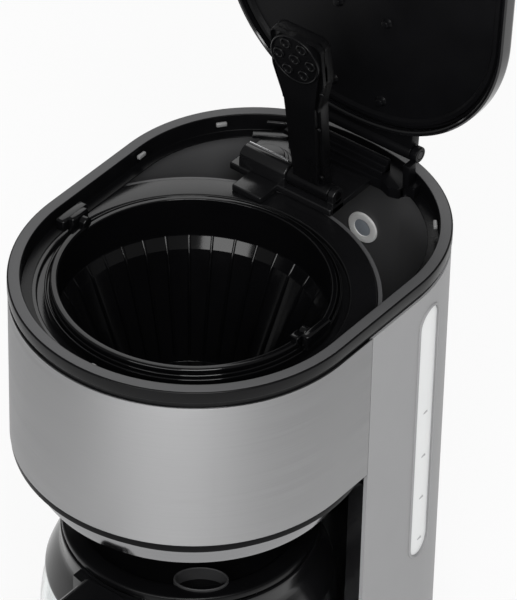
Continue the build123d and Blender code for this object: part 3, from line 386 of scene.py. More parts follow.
def clear(name, colour, roughness, clearness):
    """Glass: clear, with a faint waviness."""
    material, tree, surface, place = shader(name)
    waves = noise(tree, place, wave_scale, 1.0)
    tree.links.new(tint(tree, waves, shade(colour, 0.97), colour), surface.inputs["Base Color"])
    bump(tree, waves, surface, 0.05, wave_depth)
    surface.inputs["Roughness"].default_value = roughness
    surface.inputs["Transmission Weight"].default_value = clearness
    surface.inputs["IOR"].default_value = 1.47
    return material


satin_black = plastic("satin_black_plastic", (0.005, 0.005, 0.0055), 0.2, 0.42, 2500.0, 0.06)
# Grey copy of the rim's black plastic: painted reflection of the lights on the rim's top
painted_sheen_grey = plastic("painted_sheen_grey_plastic", (0.075, 0.075, 0.077), 0.5, 0.4, 2500.0, 0.1, 0.05)
# A black a little lighter and rougher than the carafe lid's, for the vent ring
lighter_black = plastic("lighter_black_plastic", (0.03, 0.03, 0.031), 0.45, 0.4)
deep_black = plastic("deep_black_plastic", (0.003, 0.003, 0.0034), 0.3, 0.16)
liner_black = plastic("liner_black_plastic", (0.0035, 0.0035, 0.004), 0.34, 0.07)
gloss_black = plastic("gloss_black_plastic", (0.004, 0.004, 0.0045), 0.1, 0.5, 600.0, 0.02)
basket_black = plastic("basket_black_plastic", (0.002, 0.002, 0.0023), 0.11, 0.32, 600.0, 0.02)
tank_grey = plastic("tank_grey_plastic", (0.078, 0.078, 0.08), 0.36, 0.3, 2500.0, 0.08, 0.03)
silver_paint = plastic("silver_painted_plastic", (0.29, 0.29, 0.295), 0.45, 0.35, 5000.0, 0.04, 0.015)
milky_window = plastic("milky_window_plastic", (0.8, 0.81, 0.81), 0.3, 0.5, 800.0, 0.02, 0.015)
light_plastic = plastic("light_plastic", (0.88, 0.88, 0.87), 0.4, 0.5, 2500.0, 0.08, 0.03)
clip_grey = plastic("clip_grey_plastic", (0.2, 0.2, 0.2), 0.3, 0.5, 2500.0, 0.08, 0.05)
screen_grey = plastic("screen_grey_plastic", (0.3, 0.33, 0.37), 0.4, 0.4, 2500.0, 0.08, 0.05)
mark_grey = plastic("mark_grey_print", (0.45, 0.45, 0.46), 0.5, 0.3, 2500.0, 0.05, 0.03)
lamp_red = plastic("lamp_red_plastic", (0.5, 0.03, 0.02), 0.15, 0.5, 500.0, 0.03)
plate_coating = plastic("plate_coating", (0.012, 0.012, 0.012), 0.45, 0.4, 1800.0, 0.35)
rubber = plastic("black_rubber", (0.012, 0.012, 0.012), 0.75, 0.3, 1500.0, 0.4)
silicone = plastic("hose_silicone", (0.66, 0.66, 0.63), 0.55, 0.4, 900.0, 0.1)
band_steel = metal("brushed_band_steel", (0.42, 0.42, 0.425), 0.55, (12.0, 12.0, 2600.0), 0.02, 0.025, 0.7)
bright_steel = metal("bright_ring_steel", (0.26, 0.26, 0.265), 0.12, (8.0, 8.0, 1800.0), 0.02, 0.03)
dark_steel = metal("blackened_pin_steel", (0.02, 0.02, 0.021), 0.4, (700.0, 700.0, 700.0))
sheet_steel = metal("sheet_steel", (0.5, 0.5, 0.51), 0.3, (900.0, 900.0, 900.0))
plated_steel = metal("plated_screw_steel", (0.6, 0.6, 0.61), 0.22, (700.0, 700.0, 700.0))
cast_aluminium = metal("cast_aluminium", (0.52, 0.52, 0.54), 0.5, (1400.0, 1400.0, 1400.0), 0.3)
jug_glass = clear("jug_glass", (0.94, 0.97, 0.97), 0.02, 1.0)


# Top rim with a grey sheet over its black top as painted reflection, inner ledge and clips

rim_face = rim_top - 0.9
rim_step_z = band_top + 3.5
rim_shelf_z = band_top + 0.6
rim_round = 0.9
rim_outline = rounded(
    [
        (rim_recess, band_top, 0),
        (rim_recess, rim_step_z, thin_edge),
        (-rim_overhang, rim_step_z, plain_edge),
        (-rim_overhang, rim_face, rim_round),
        (rim_inner, rim_face, plain_edge),
        (rim_inner, rim_shelf_z, thin_edge),
        (ledge_inner, rim_shelf_z, crisp_edge),
        (ledge_inner, band_top, crisp_edge),
    ]
)
piece("rim", "machine", deep_black, "gloss_black", [plan_ring(rim_outline)], "top_rim")
# Thin grey sheet laid over the rim's black top: painted reflection of the lights
face_margin = 0.5
face_root = rim_face - 0.3
face_top = rim_face + 0.15
sheen_outline = rounded(
    [
        (face_margin, face_root, 0),
        (face_margin, face_top, hair_edge),
        (rim_inner - face_margin, face_top, hair_edge),
        (rim_inner - face_margin, face_root, 0),
    ]
)
piece("rim_face", "machine", painted_sheen_grey, "black_plastic", [plan_ring(sheen_outline)])

clip_z = ledge_top + 2.6
clip_depth = 2.0
clip_height = 2.2
clip_length = 5.5
bar_length = 11.4


def clip(centre, radius, angle, length):
    """A small rounded catch on the rim's inner wall."""
    size = Vector((clip_depth, length, clip_height))
    turn = radians(angle)
    spot = (centre[0] + radius * cos(turn), centre[1] + radius * sin(turn), clip_z)
    spin = Matrix.Rotation(turn, 4, "Z")
    return placed(block(-size / 2, size / 2, worn_edge), Matrix.Translation(spot) @ spin)


corner_clip = corner_radius - rim_inner - clip_depth
front_clip = half_width - rim_inner - clip_depth
left_corner = (-corner_x, side_length)
right_corner = (corner_x, side_length)
left_clip_angles = [181.0, 142.5]
right_clip_angle = 39.3
front_clip_angle = 273.0
bar_angle = 120.0
clips = [clip(left_corner, corner_clip, angle, clip_length) for angle in left_clip_angles]
clips.append(clip(right_corner, corner_clip, right_clip_angle, clip_length))
clips.append(clip((0, 0), front_clip, front_clip_angle, clip_length / 2))
piece("rim_clips", "machine", clip_grey, "light_plastic", clips)
bar = clip(left_corner, corner_clip, bar_angle, bar_length)
piece("rim_bar", "machine", satin_black, "gloss_black", [bar])


# Steel band, brew head with its deck, and the skirt

band_sheet = 0.8
band_edge = 0.25
band_outline = rounded(
    [
        (0.0, band_bottom, band_edge),
        (0.0, band_top, band_edge),
        (band_sheet, band_top, band_edge),
        (band_sheet, band_bottom, band_edge),
    ]
)
band_paths = [[(x, y, z) for x, y in front_points(inset, band_end_y)] for inset, z in band_outline]
band_mesh = skin([list(section) for section in zip(*band_paths)], False)
piece("steel_band", "machine", band_steel, "steel_band", [band_mesh], "front_band")

head_fit = 0.1
head_radius = half_width - band_sheet - head_fit
head_wall = 2.5
deck_hole = 69.0
deck_thickness = 3.0
recess_radius = 75.0
recess_depth = 2.2
head_hole = 14.0
head_outline = rounded(
    [
        (head_hole, head_floor, fine_edge),
        (head_radius, head_floor, fine_edge),
        (head_radius, band_top, fine_edge),
        (recess_radius, band_top, soft_edge),
        (recess_radius, band_top - recess_depth, thin_edge),
        (deck_hole, band_top - recess_depth, fine_edge),
        (deck_hole, band_top - deck_thickness, crisp_edge),
        (head_radius - head_wall, band_top - deck_thickness, fine_edge),
        (head_radius - head_wall, head_floor + head_wall, fine_edge),
        (head_hole, head_floor + head_wall, fine_edge),
    ]
)
piece("brew_well", "machine", satin_black, "gloss_black", [lathe(head_outline)], "brew_head")

skirt_radius = span("head_skirt")[1].x
skirt_step = 3.0
skirt_width = 6.0
skirt_outline = rounded(
    [
        (skirt_radius - skirt_width, skirt_bottom, fine_edge),
        (skirt_radius - skirt_step, skirt_bottom, soft_edge),
        (skirt_radius - skirt_step, skirt_bottom + skirt_step, soft_edge),
        (skirt_radius, skirt_bottom + 2 * skirt_step, soft_edge),
        (skirt_radius, head_floor, fine_edge),
        (skirt_radius - skirt_width, head_floor, fine_edge),
    ]
)
cuff_radius = head_radius + 0.4
cuff_root = head_radius - 0.5
cuff_top = band_bottom - 0.2
cuff_outline = rounded(
    [
        (cuff_root, head_floor, 0),
        (cuff_radius, head_floor, crisp_edge),
        (cuff_radius, cuff_top, crisp_edge),
        (cuff_root, cuff_top, 0),
    ]
)
skirt_meshes = [lathe(skirt_outline), lathe(cuff_outline)]
piece("skirt", "machine", liner_black, "black_plastic", skirt_meshes, "head_skirt")

ring_radius = span("skirt_ring")[1].x
ring_foot = span("skirt_ring")[0].z
ring_taper = 1.0
ring_sheet = 2.0
trim_outline = rounded(
    [
        (ring_radius - ring_sheet, skirt_bottom, crisp_edge),
        (ring_radius, skirt_bottom, thin_edge),
        (ring_radius - ring_taper, ring_foot, worn_edge),
        (ring_radius - ring_taper - ring_sheet, ring_foot, worn_edge),
    ]
)
piece("bright_ring", "machine", bright_steel, "bright_trim", [lathe(trim_outline, steps=180)], "skirt_ring")


# Filter basket: wall with a sloped step, lipped ring, flutes, ears and outlet

basket_ring = 71.4
basket_mouth = 66.3
ring_bottom = band_top + gap
ring_top = ring_bottom + 3.7
step_top = ring_top - 22.0
step_bottom = step_top - 6.0
step_radius = basket_mouth - 3.8
basket_wall = 2.0
basket_floor = outlet_bottom + 14.0
floor_top = basket_floor + basket_wall
floor_radius = 42.0
drip_hole = 3.0
outlet_bore = 7.3
outlet_radius = outlet_bore + 2.0
outlet_lip = 1.5
outlet_top = basket_floor + 0.5
stem_hole = 4.6
lip_radius = 69.2
ridge_width = 1.3
ridge_drop = 0.9
groove_depth = 3.0
ring_foot_z = ring_bottom - 2.0
floor_round = 1.5
step_round = 2.0
ridge_round = 0.55
lip_round = 0.9
mouth_round = 2.5

basket_outline = rounded(
    [
        (drip_hole, basket_floor, fine_edge),
        (floor_radius, basket_floor, floor_round),
        (step_radius + basket_wall, step_bottom, step_round),
        (basket_mouth + basket_wall, step_top, step_round),
        (basket_mouth + basket_wall, ring_foot_z, fine_edge),
        (basket_ring, ring_foot_z, fine_edge),
        (basket_ring, ring_top - ridge_drop, ridge_round),
        (basket_ring - ridge_width, ring_top - ridge_drop, ridge_round),
        (basket_ring - ridge_width, ring_top - groove_depth, crisp_edge),
        (lip_radius, ring_top - groove_depth, crisp_edge),
        (lip_radius, ring_top, lip_round),
        (basket_mouth, ring_top, worn_edge),
        (basket_mouth, step_top, mouth_round),
        (step_radius, step_bottom, step_round),
        (floor_radius - basket_wall, floor_top, crisp_edge),
        (drip_hole, floor_top, fine_edge),
    ]
)
outlet_outline = rounded(
    [
        (stem_hole, outlet_bottom, fine_edge),
        (outlet_radius, outlet_bottom, soft_edge),
        (outlet_radius, outlet_top, 0),
        (outlet_bore, outlet_top, 0),
        (outlet_bore, outlet_bottom + outlet_lip, fine_edge),
        (stem_hole, outlet_bottom + outlet_lip, fine_edge),
    ]
)

flute_count = 36
flute_half = 0.8
flute_depth = 1.6
flute_top = step_top
flute_bottom = floor_top + 4.0
flute_stations = 18
flute_fade = 0.7
flute_root = 1.0


def wall_radius(z):
    """Radius of the basket's inner wall, up to the top of the step."""
    if z > step_bottom:
        return step_radius + (basket_mouth - step_radius) * (z - step_bottom) / (step_top - step_bottom)
    rise = (z - floor_top) / (step_bottom - floor_top)
    return floor_radius - basket_wall + (step_radius - floor_radius + basket_wall) * rise


def flute(angle):
    """One rib on the basket's inner wall, round on its inner side and thinning out at its top."""
    rings = []
    for station in range(flute_stations + 1):
        rise = station / flute_stations
        z = flute_bottom + (flute_top - flute_bottom) * rise
        depth = flute_depth * (1 - flute_fade * rise**4)
        wall = wall_radius(z)
        ring = [(wall + depth * x, flute_half * y, z) for x, y in arc((0, 0), 1.0, 90, 180, 6)]
        ring += [(wall + flute_root, -flute_half, z), (wall + flute_root, flute_half, z)]
        rings.append(ring)
    return placed(skin(rings, False), Matrix.Rotation(radians(angle), 4, "Z"))


ear_inner = 69.3
ear_outer = 73.5
ear_half = 6.0
ear_top = ring_top + 8.0
ear_bar_outer = 78.0
ear_bar_half = 9.5
ear_bar_drop = 1.0
ear_root = ring_top - 1.5
ear_edge = 1.2
ears = [
    block((ear_inner, -ear_half, ear_root), (ear_outer, 2 * ear_half, ear_top), ear_edge),
    block((-ear_outer, -ear_half, ear_root), (-ear_inner, ear_half, ear_top), ear_edge),
    block(
        (-ear_bar_outer, -ear_bar_half, ring_top + gap),
        (-ear_outer + 1, ear_bar_half, ear_top - ear_bar_drop),
        ear_edge,
    ),
]
flutes = [flute(360 * i / flute_count) for i in range(flute_count)]
basket_meshes = [lathe(basket_outline, steps=144), lathe(outlet_outline, steps=64)] + flutes + ears
piece("basket", "basket", basket_black, "gloss_black", basket_meshes, "filter_basket")

bail_outer = 69.0
bail_width = 4.0
bail_bottom = ring_top + gap
bail_thickness = 3.0
bail_pivot_z = ring_top + 4.5
bail_eye = 3.0
bail_pin = 1.8
bail_pin_length = 3.6
bail_outline = rounded(
    [
        (bail_outer - bail_width, bail_bottom, round_edge),
        (bail_outer, bail_bottom, round_edge),
        (bail_outer, bail_bottom + bail_thickness, round_edge),
        (bail_outer - bail_width, bail_bottom + bail_thickness, round_edge),
    ]
)
bail_meshes = [lathe(bail_outline, 180.0, 180.0, 96)]
for side in (-1, 1):
    near, far = sorted((side * (bail_outer - bail_width), side * bail_outer))
    bail_meshes.append(along_x(near, far, 0, bail_pivot_z, bail_eye, soft_edge))
    near, far = sorted((side * (bail_outer - 1), side * (bail_outer + bail_pin_length)))
    bail_meshes.append(along_x(near, far, 0, bail_pivot_z, bail_pin))
grip_front = -8.0
grip_back = -2.0
grip_edge = 0.7
grip_low = (bail_outer - bail_width - 1, grip_front, bail_bottom + gap)
grip_high = (bail_outer, grip_back, bail_bottom + 2 * bail_thickness)
bail_meshes.append(block(grip_low, grip_high, grip_edge))
piece("bail", "bail", basket_black, "gloss_black", bail_meshes, "basket_bail")


# Valve spring: a coil riding on the basket

spring_low, spring_high = span("valve_spring")
spring_length = spring_high.z - spring_low.z
wire_radius = 0.45
coil_radius = spring_high.x - wire_radius
coil_turns = 4
turn_steps = 24
coil_steps = coil_turns * turn_steps
coil_rings = []
for step in range(coil_steps + 1):
    turn = 2 * pi * step / turn_steps
    z = spring_low.z + gap + wire_radius + (spring_length - gap - 2 * wire_radius) * step / coil_steps
    section = arc((coil_radius, z), wire_radius, 0, 360, 8)[:-1]
    coil_rings.append([(r * cos(turn), r * sin(turn), height) for r, height in section])
coil_mesh = skin(coil_rings, False)
coil = piece("coil_spring", "basket", plated_steel, "screw_steel", [coil_mesh], "valve_spring")
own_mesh(coil)


# Spray arm: tapered shell with side rails, and the plate with seven nozzles

arm_length = 86.0
arm_half_width = 12.5
arm_neck = 9.2
arm_waist = 10.8
arm_waist_y = 57.0
arm_head = 15.5
arm_head_end = 13.0
arm_head_setback = 2.0
arm_blend = 14.0
arm_corner = 4.3
arm_edge = 0.7
arm_half_height = 4.5
arm_face = 1.5
arm_pin = 2.05
rail_width = 0.7
rail_top = 3.4


def arm_outline(inset):
    """Outline of the arm's shell, narrow at the pivot and wide at the head."""
    head_start = arm_length - arm_head_end + arm_head_setback
    neck = arm_neck - inset
    waist = arm_waist - inset
    head = arm_head - inset
    end = arm_length + arm_head_end - inset
    return rounded(
        [
            (-neck, 0, 0),
            (neck, 0, 0),
            (waist, arm_waist_y, arm_blend),
            (head, head_start, arm_blend),
            (head, end, arm_corner - inset),
            (-head, end, arm_corner - inset),
            (-head, head_start, arm_blend),
            (-waist, arm_waist_y, arm_blend),
        ],
        6,
    )


rail_rings = []
for outer, inner in zip(arm_outline(0), arm_outline(rail_width)):
    rail_rings.append([(*outer, 0.0), (*outer, rail_top), (*inner, rail_top), (*inner, 0.0)])
arm_meshes = [
    prism(arm_outline(0), -arm_half_height, arm_face, arm_edge),
    skin(rail_rings[2:], False),
]
stud_places = [(10.2, 12.0), (10.9, 44.0), (14.6, 69.0)]
stud_core = 0.4
stud_radius = 0.8
stud_outline = arc((stud_core, rail_top), stud_radius, -30, 110, 6)
for x, y in stud_places:
    arm_meshes.append(placed(disc_stack(stud_outline, 16), Matrix.Translation((x - rail_width, y, 0))))
arm_meshes = [placed(mesh, arm_frame) for mesh in arm_meshes]
hub_ends = (-arm_half_width, arm_half_width)
arm_meshes.append(along_x(*hub_ends, arm_pivot_y, arm_pivot_z, arm_half_height, plain_edge, arm_pin))
piece("arm_shell", "arm", deep_black, "black_plastic", arm_meshes, "spray_arm")

spray_radius = 14.4
spray_start = arm_half_height + 1.5
spray_neck = arm_neck - 1.5
spray_waist = arm_waist - 1.5
tangent_angle = -28.0
nozzle_radius = 2.0
nozzle_rim = 3.2
nozzle_pitch = 9.5
nozzle_height = 1.0
nozzle_sink = 0.4
head_lip = 1.3
head_lip_radius = spray_radius - 0.1
head_lip_root = arm_half_height - 0.3
head_lip_top = arm_half_height + 0.9

plate_outline = [(-spray_waist, arm_waist_y), (-spray_neck, spray_start), (spray_neck, spray_start)]
plate_outline += [(spray_waist, arm_waist_y)]
plate_outline += arc((0, arm_length), spray_radius, tangent_angle, 180 - 2 * tangent_angle, 40)
nozzle_outline = rounded(
    [
        (nozzle_radius - nozzle_sink, arm_half_height - nozzle_sink, 0),
        (nozzle_rim, arm_half_height - nozzle_sink, 0),
        (nozzle_rim, arm_half_height + nozzle_height, plain_edge),
        (nozzle_radius, arm_half_height + nozzle_height, plain_edge),
    ]
)
lip_outline = rounded(
    [
        (spray_radius - head_lip, head_lip_root, 0),
        (head_lip_radius, head_lip_root, 0),
        (head_lip_radius, head_lip_top, plain_edge),
        (spray_radius - head_lip, head_lip_top, plain_edge),
    ]
)
nozzle_points = [(0.0, arm_length)] + arc((0, arm_length), nozzle_pitch, 0, 300, 5)
spray_meshes = [
    prism(plate_outline, arm_face, arm_half_height, worn_edge),
    placed(lathe(lip_outline, steps=64), Matrix.Translation((0, arm_length, 0))),
]
for x, y in nozzle_points:
    spray_meshes.append(placed(lathe(nozzle_outline, steps=24), Matrix.Translation((x, y, 0))))
spray_meshes = [placed(mesh, arm_frame) for mesh in spray_meshes]
piece("nozzle_plate", "arm", deep_black, "gloss_black", spray_meshes, "spray_plate")


# Bridge under the arm: plate, water barrel, duct cover with its arched steps, lug and hose spigot

bridge_left = -46.0
bridge_right = 16.5
pad_left = -34.0
pad_right = -16.0
pad_front_y = basket_ring + 1.6
bridge_back_y = hinge_y - 8.5
bridge_top = band_top + 4.0
barrel_left = -41.0
barrel_radius = 5.4
bridge_front_y = arm_pivot_y - barrel_radius - 1.0
lug_left = arm_half_width + gap
hose_x = 26.0
hose_y = half_width + 14.0
hose_spigot = 5.0
spigot_bore = 3.5
bridge_root = band_top + 1.0
spigot_end = band_top - 14.0
hood_centre = Vector((-29.0, 95.5))
hood_steps = [(12.5, 313.0), (10.5, 315.0), (8.5, 317.0)]
strip_from = Vector((-51.0, 111.5))
strip_to = Vector((-36.0, 121.5))
strip_half = 1.9
strip_top = bridge_top + 1.2
rod_radius = 0.7

spigot_outline = rounded(
    [
        (spigot_bore, spigot_end, fine_edge),
        (hose_spigot, spigot_end, worn_edge),
        (hose_spigot, bridge_root, 0),
        (spigot_bore, bridge_root, 0),
    ]
)
bridge_meshes = [
    block((bridge_left, bridge_front_y, band_top), (bridge_right, bridge_back_y, bridge_top), soft_edge),
    block((pad_left, pad_front_y, band_top), (pad_right, arm_pivot_y, bridge_top), soft_edge),
    along_x(barrel_left, -lug_left, arm_pivot_y, arm_pivot_z, barrel_radius, soft_edge),
    block(
        (barrel_left, arm_pivot_y - barrel_radius, band_top),
        (-lug_left, arm_pivot_y + barrel_radius, arm_pivot_z),
        fine_edge,
    ),
    along_x(lug_left, bridge_right, arm_pivot_y, arm_pivot_z, arm_half_height, plain_edge, arm_pin),
    block(
        (lug_left, arm_pivot_y - arm_half_height, band_top),
        (bridge_right, arm_pivot_y + arm_half_height, arm_pivot_z - arm_pin),
        fine_edge,
    ),
    placed(lathe(spigot_outline, steps=32), Matrix.Translation((-hose_x, hose_y, 0))),
]
for radius, top in hood_steps:
    hood = rounded([(0, bridge_root, 0), (radius, bridge_root, 0), (radius, top, worn_edge), (0, top, 0)])
    bridge_meshes.append(placed(lathe(hood, 0.0, 180.0, 48), Matrix.Translation((*hood_centre, 0))))
strip_run = strip_to - strip_from
strip = block((0, -strip_half, bridge_top - 1), (strip_run.length, strip_half, strip_top), fine_edge)
strip_turn = Matrix.Rotation(atan2(strip_run.y, strip_run.x), 4, "Z")
bridge_meshes.append(placed(strip, Matrix.Translation((*strip_from, 0)) @ strip_turn))
piece("bridge", "machine", satin_black, "gloss_black", bridge_meshes, "arm_bridge")
rod_z = arm_pivot_z + barrel_radius - 0.2
rod = along_x(barrel_left + 1, -lug_left - 3, arm_pivot_y + 2, rod_z, rod_radius, crisp_edge)
piece("barrel_rod", "machine", plated_steel, "screw_steel", [rod])


# Hinge shelf: plate, steps between the hinges and two lugs with bored eyes

shelf_front_y = hinge_y - 16.0
shelf_step_y = hinge_y - 10.5
shelf_half = 40.0
shelf_step_x = 33.0
shelf_top = ledge_top + 2.5
shelf_root = shelf_top - 1.0
lip_bottom = band_top + 0.5
lip_top = ledge_top + 1.0
lip_setback = 0.2
lip_thickness = 1.6
lug_inner_x = 32.9
lug_outer_x = 36.5
lug_front_y = hinge_y - 9.5
lug_back_y = hinge_y - 3.1
knuckle_radius = 4.2
knuckle_inner_x = 21.5
knuckle_outer_x = 32.6
pin_bore = 2.05
step_half = knuckle_inner_x - gap
step_run = 2.4
step_rise = 2.2
step_count = 3
shelf_round = 1.5
shelf_sweep = 6.0
shelf_crook = 2.5

shelf_fit = 0.1
shelf_radius = back_radius - rim_inner - shelf_fit
shelf_turn = degrees(atan2(sqrt(shelf_radius**2 - shelf_half**2), shelf_half))
shelf_back = arc((0, back_y), shelf_radius, shelf_turn, 180 - 2 * shelf_turn, 16)
# The front edge slants back to the right and ends there in a small crook
shelf_front = rounded(
    [
        (-shelf_half, shelf_step_y, 1.0),
        (-shelf_step_x, shelf_step_y, shelf_round),
        (-shelf_step_x, shelf_front_y, shelf_round),
        (0.7 * shelf_step_x, shelf_front_y + 3, shelf_sweep),
        (0.88 * shelf_step_x, shelf_front_y + 0.5, shelf_crook),
        (1.04 * shelf_step_x, shelf_front_y + 2.5, shelf_round),
        (1.04 * shelf_step_x, shelf_step_y + 1.5, shelf_round),
        (shelf_half, shelf_step_y + 1.5, soft_edge),
        (shelf_half, shelf_step_y + 4, 0),
        (-shelf_half, shelf_step_y + 4, 0),
    ]
)[:-2]
shelf_meshes = [prism(shelf_front + shelf_back, rim_shelf_z, shelf_top, worn_edge)]
lip_rings = []
for x, y in shelf_front[5:-5]:
    front = y + lip_setback
    back = y + lip_thickness
    corners = [(front, lip_bottom), (front, lip_top), (back, lip_top), (back, lip_bottom)]
    lip_rings.append([(x, *corner) for corner in corners])
shelf_meshes.append(skin(lip_rings, False))
for step in range(step_count):
    front = lug_back_y - step_run * (step_count - step)
    top = shelf_top + step_rise * (step + 1)
    shelf_meshes.append(block((-step_half, front, shelf_root), (step_half, lug_back_y, top), plain_edge))
for side in (-1, 1):
    near, far = sorted((side * lug_inner_x, side * lug_outer_x))
    shelf_meshes.append(along_x(near, far, hinge_y, hinge_z, knuckle_radius, worn_edge, pin_bore))
    lug_high = (far, lug_back_y, hinge_z - pin_bore)
    shelf_meshes.append(block((near, lug_front_y, shelf_root), lug_high, worn_edge))
piece("hinge_steps", "machine", liner_black, "black_plastic", shelf_meshes, "hinge_shelf")


# Lid cover and liner, built flat and swung open

lid_inset = 5.0
lid_setback = 15.0
lid_underside = hinge_z - rim_top - 0.6
lid_top = lid_underside - 10.6
lid_wall = 2.5
lid_round = 4.5
web_depth = 4.0
web_reach = 16.0
liner_face = lid_underside - 3.4
liner_back = liner_face - 2.5
web_top = liner_back - gap

outer_round = arc((lid_inset + lid_round, lid_top + lid_round), lid_round, 180, 90, 8)
cover_outline = [
    (lid_inset + lid_wall, lid_top + lid_wall),
    (lid_inset + lid_wall, lid_underside - worn_edge),
    (lid_inset + lid_wall - worn_edge, lid_underside),
    (lid_inset + soft_edge, lid_underside),
    (lid_inset, lid_underside - soft_edge),
] + outer_round
cover_meshes = [placed(plan_stack(cover_outline, lid_setback), lid_place)]
barrel_ends = (-knuckle_outer_x, knuckle_outer_x)
hinge_meshes = [along_x(*barrel_ends, hinge_y, hinge_z, knuckle_radius, worn_edge, pin_bore)]
web = block((-knuckle_outer_x, pin_bore, -web_depth), (knuckle_outer_x, web_reach, web_top), soft_edge)
hinge_meshes.append(placed(web, lid_frame))
piece("lid_hinge", "lid", liner_black, "black_plastic", hinge_meshes)
piece("lid_shell", "lid", gloss_black, "gloss_black", cover_meshes, "lid_cover")

border_start = lid_inset + 4.0
border_end = lid_inset + 7.5
border_rise = 1.4
liner_fit = 0.1
liner_edge = lid_inset + lid_wall + liner_fit
liner_dip = 0.3
liner_outline = [
    (liner_edge, liner_back),
    (liner_edge, liner_face - plain_edge),
    (liner_edge + plain_edge, liner_face),
    (border_start, liner_face),
    (border_start + soft_edge, liner_face + border_rise),
    (border_end - soft_edge, liner_face + border_rise),
    (border_end + fine_edge, liner_face - liner_dip),
]
peg_radius = 2.0
peg_height = 2.2
peg_x = 14.6
peg_rows = [62.0, 107.5]
peg_foot = [(peg_radius + 1.2, liner_face - 0.5), (peg_radius + 0.3, liner_face + 0.4)]
peg_rim = arc((peg_radius - worn_edge, liner_face + peg_height - worn_edge), worn_edge, 0, 90, 4)
peg_outline = peg_foot + peg_rim
liner_meshes = [placed(plan_stack(liner_outline, lid_setback), lid_place)]
for x in (-peg_x, peg_x):
    for y in peg_rows:
        peg = placed(disc_stack(peg_outline, 24), Matrix.Translation((x, hinge_y - y, 0)))
        liner_meshes.append(placed(peg, lid_frame))
piece("lid_inside", "lid", liner_black, "black_plastic", liner_meshes, "lid_liner")


# Carafe: wide collar on the shoulder, and the lid

collar_low, collar_high = span("carafe_collar")
belly_radius = span("carafe_glass")[1].x
belly_z = span("carafe_glass")[0].z + 55.0
neck_radius = 63.0
neck_z = collar_high.z - 10.0
collar_fit = 0.1
collar_sheet = 1.6
collar_rows = 14
shoulder_fall = belly_radius - neck_radius
shoulder_radius = ((neck_z - belly_z) ** 2 + shoulder_fall**2) / (2 * shoulder_fall)


def jug_radius(z):
    """Outer radius of the glass above its belly."""
    if z > neck_z:
        return neck_radius
    return belly_radius - shoulder_radius + sqrt(shoulder_radius**2 - (z - belly_z) ** 2)


# The collar's rims are rounded: how far in from each end, and how far in from the skin there
collar_round = [(0.0, 0.6), (0.15, 0.2), (0.6, 0.0)]
collar_pitch = (collar_high.z - collar_low.z) / collar_rows
collar_heights = [collar_low.z + rise for rise, edge in collar_round]
collar_heights += [collar_low.z + collar_pitch * i for i in range(1, collar_rows)]
collar_heights += [collar_high.z - rise for rise, edge in reversed(collar_round)]
collar_ends = [edge for rise, edge in collar_round]
collar_edge = collar_ends + [0.0] * (collar_rows - 1) + collar_ends[::-1]
collar_outline = [
    (jug_radius(z) + collar_fit + collar_sheet - edge, z) for z, edge in zip(collar_heights, collar_edge)
]
collar_outline += [(jug_radius(z) + collar_fit, z) for z in reversed(collar_heights)]
piece("collar", "carafe", satin_black, "black_plastic", [lathe(collar_outline)], "carafe_collar")

cap_low, cap_high = span("carafe_lid")
plug_radius = neck_radius - 2.7
plug_wall = 2.5
cap_bottom = collar_high.z + 1.3
cap_top = cap_bottom + 4.0
dish_radius = 54.0
dish_floor = cap_top - 6.0
cap_floor = 2.5
hub_foot = 30.0
hub_crown = 18.0
hub_hole = 6.0
hub_top = cap_high.z
cap_radius = neck_radius + 1.0
cap_round = 1.6
dish_edge = 0.9
dish_round = 2.0
hub_foot_round = 4.0
hub_round = 2.0
hub_inner_round = 1.0
cap_outline = rounded(
    [
        (hub_foot - cap_floor, dish_floor - cap_floor, fine_edge),
        (plug_radius - plug_wall, dish_floor - cap_floor, fine_edge),
        (plug_radius - plug_wall, cap_low.z, soft_edge),
        (plug_radius, cap_low.z, soft_edge),
        (plug_radius, cap_bottom, fine_edge),
        (cap_radius, cap_bottom, soft_edge),
        (cap_radius, cap_top, cap_round),
        (dish_radius, cap_top, dish_edge),
        (dish_radius, dish_floor, dish_round),
        (hub_foot, dish_floor, hub_foot_round),
        (hub_crown, hub_top, hub_round),
        (hub_hole, hub_top, soft_edge),
        (hub_hole, hub_top - cap_floor, fine_edge),
        (hub_crown - cap_floor, hub_top - cap_floor, hub_inner_round),
    ]
)
vent_x = 35.5
vent_y = -36.3
vent_angle = radians(37.0)
vent_stretch = (1.15, 0.72, 1, 1)
vent_turn = Matrix.Rotation(vent_angle, 4, "Z") @ Matrix.Diagonal(vent_stretch)
vent_spot = Matrix.Translation((vent_x, vent_y, 0)) @ vent_turn
vent_radius = 11.8
vent_wall = 1.0
vent_root = dish_floor - 0.5
vent_top = cap_top + 1.5
vent_edge = 0.7
vent_outline = rounded(
    [
        (vent_radius - vent_wall, vent_root, 0),
        (vent_radius, vent_root, 0),
        (vent_radius, vent_top, vent_edge),
        (vent_radius - vent_wall, vent_top, vent_edge),
    ]
)
piece("carafe_cap", "carafe_cap", deep_black, "black_plastic", [lathe(cap_outline)], "carafe_lid")
vent_ring = placed(lathe(vent_outline, steps=64), vent_spot)
piece("vent_ring", "carafe_cap", lighter_black, "black_plastic", [vent_ring])


# Overflow on the tank's back wall: a pale ring with a screen in it

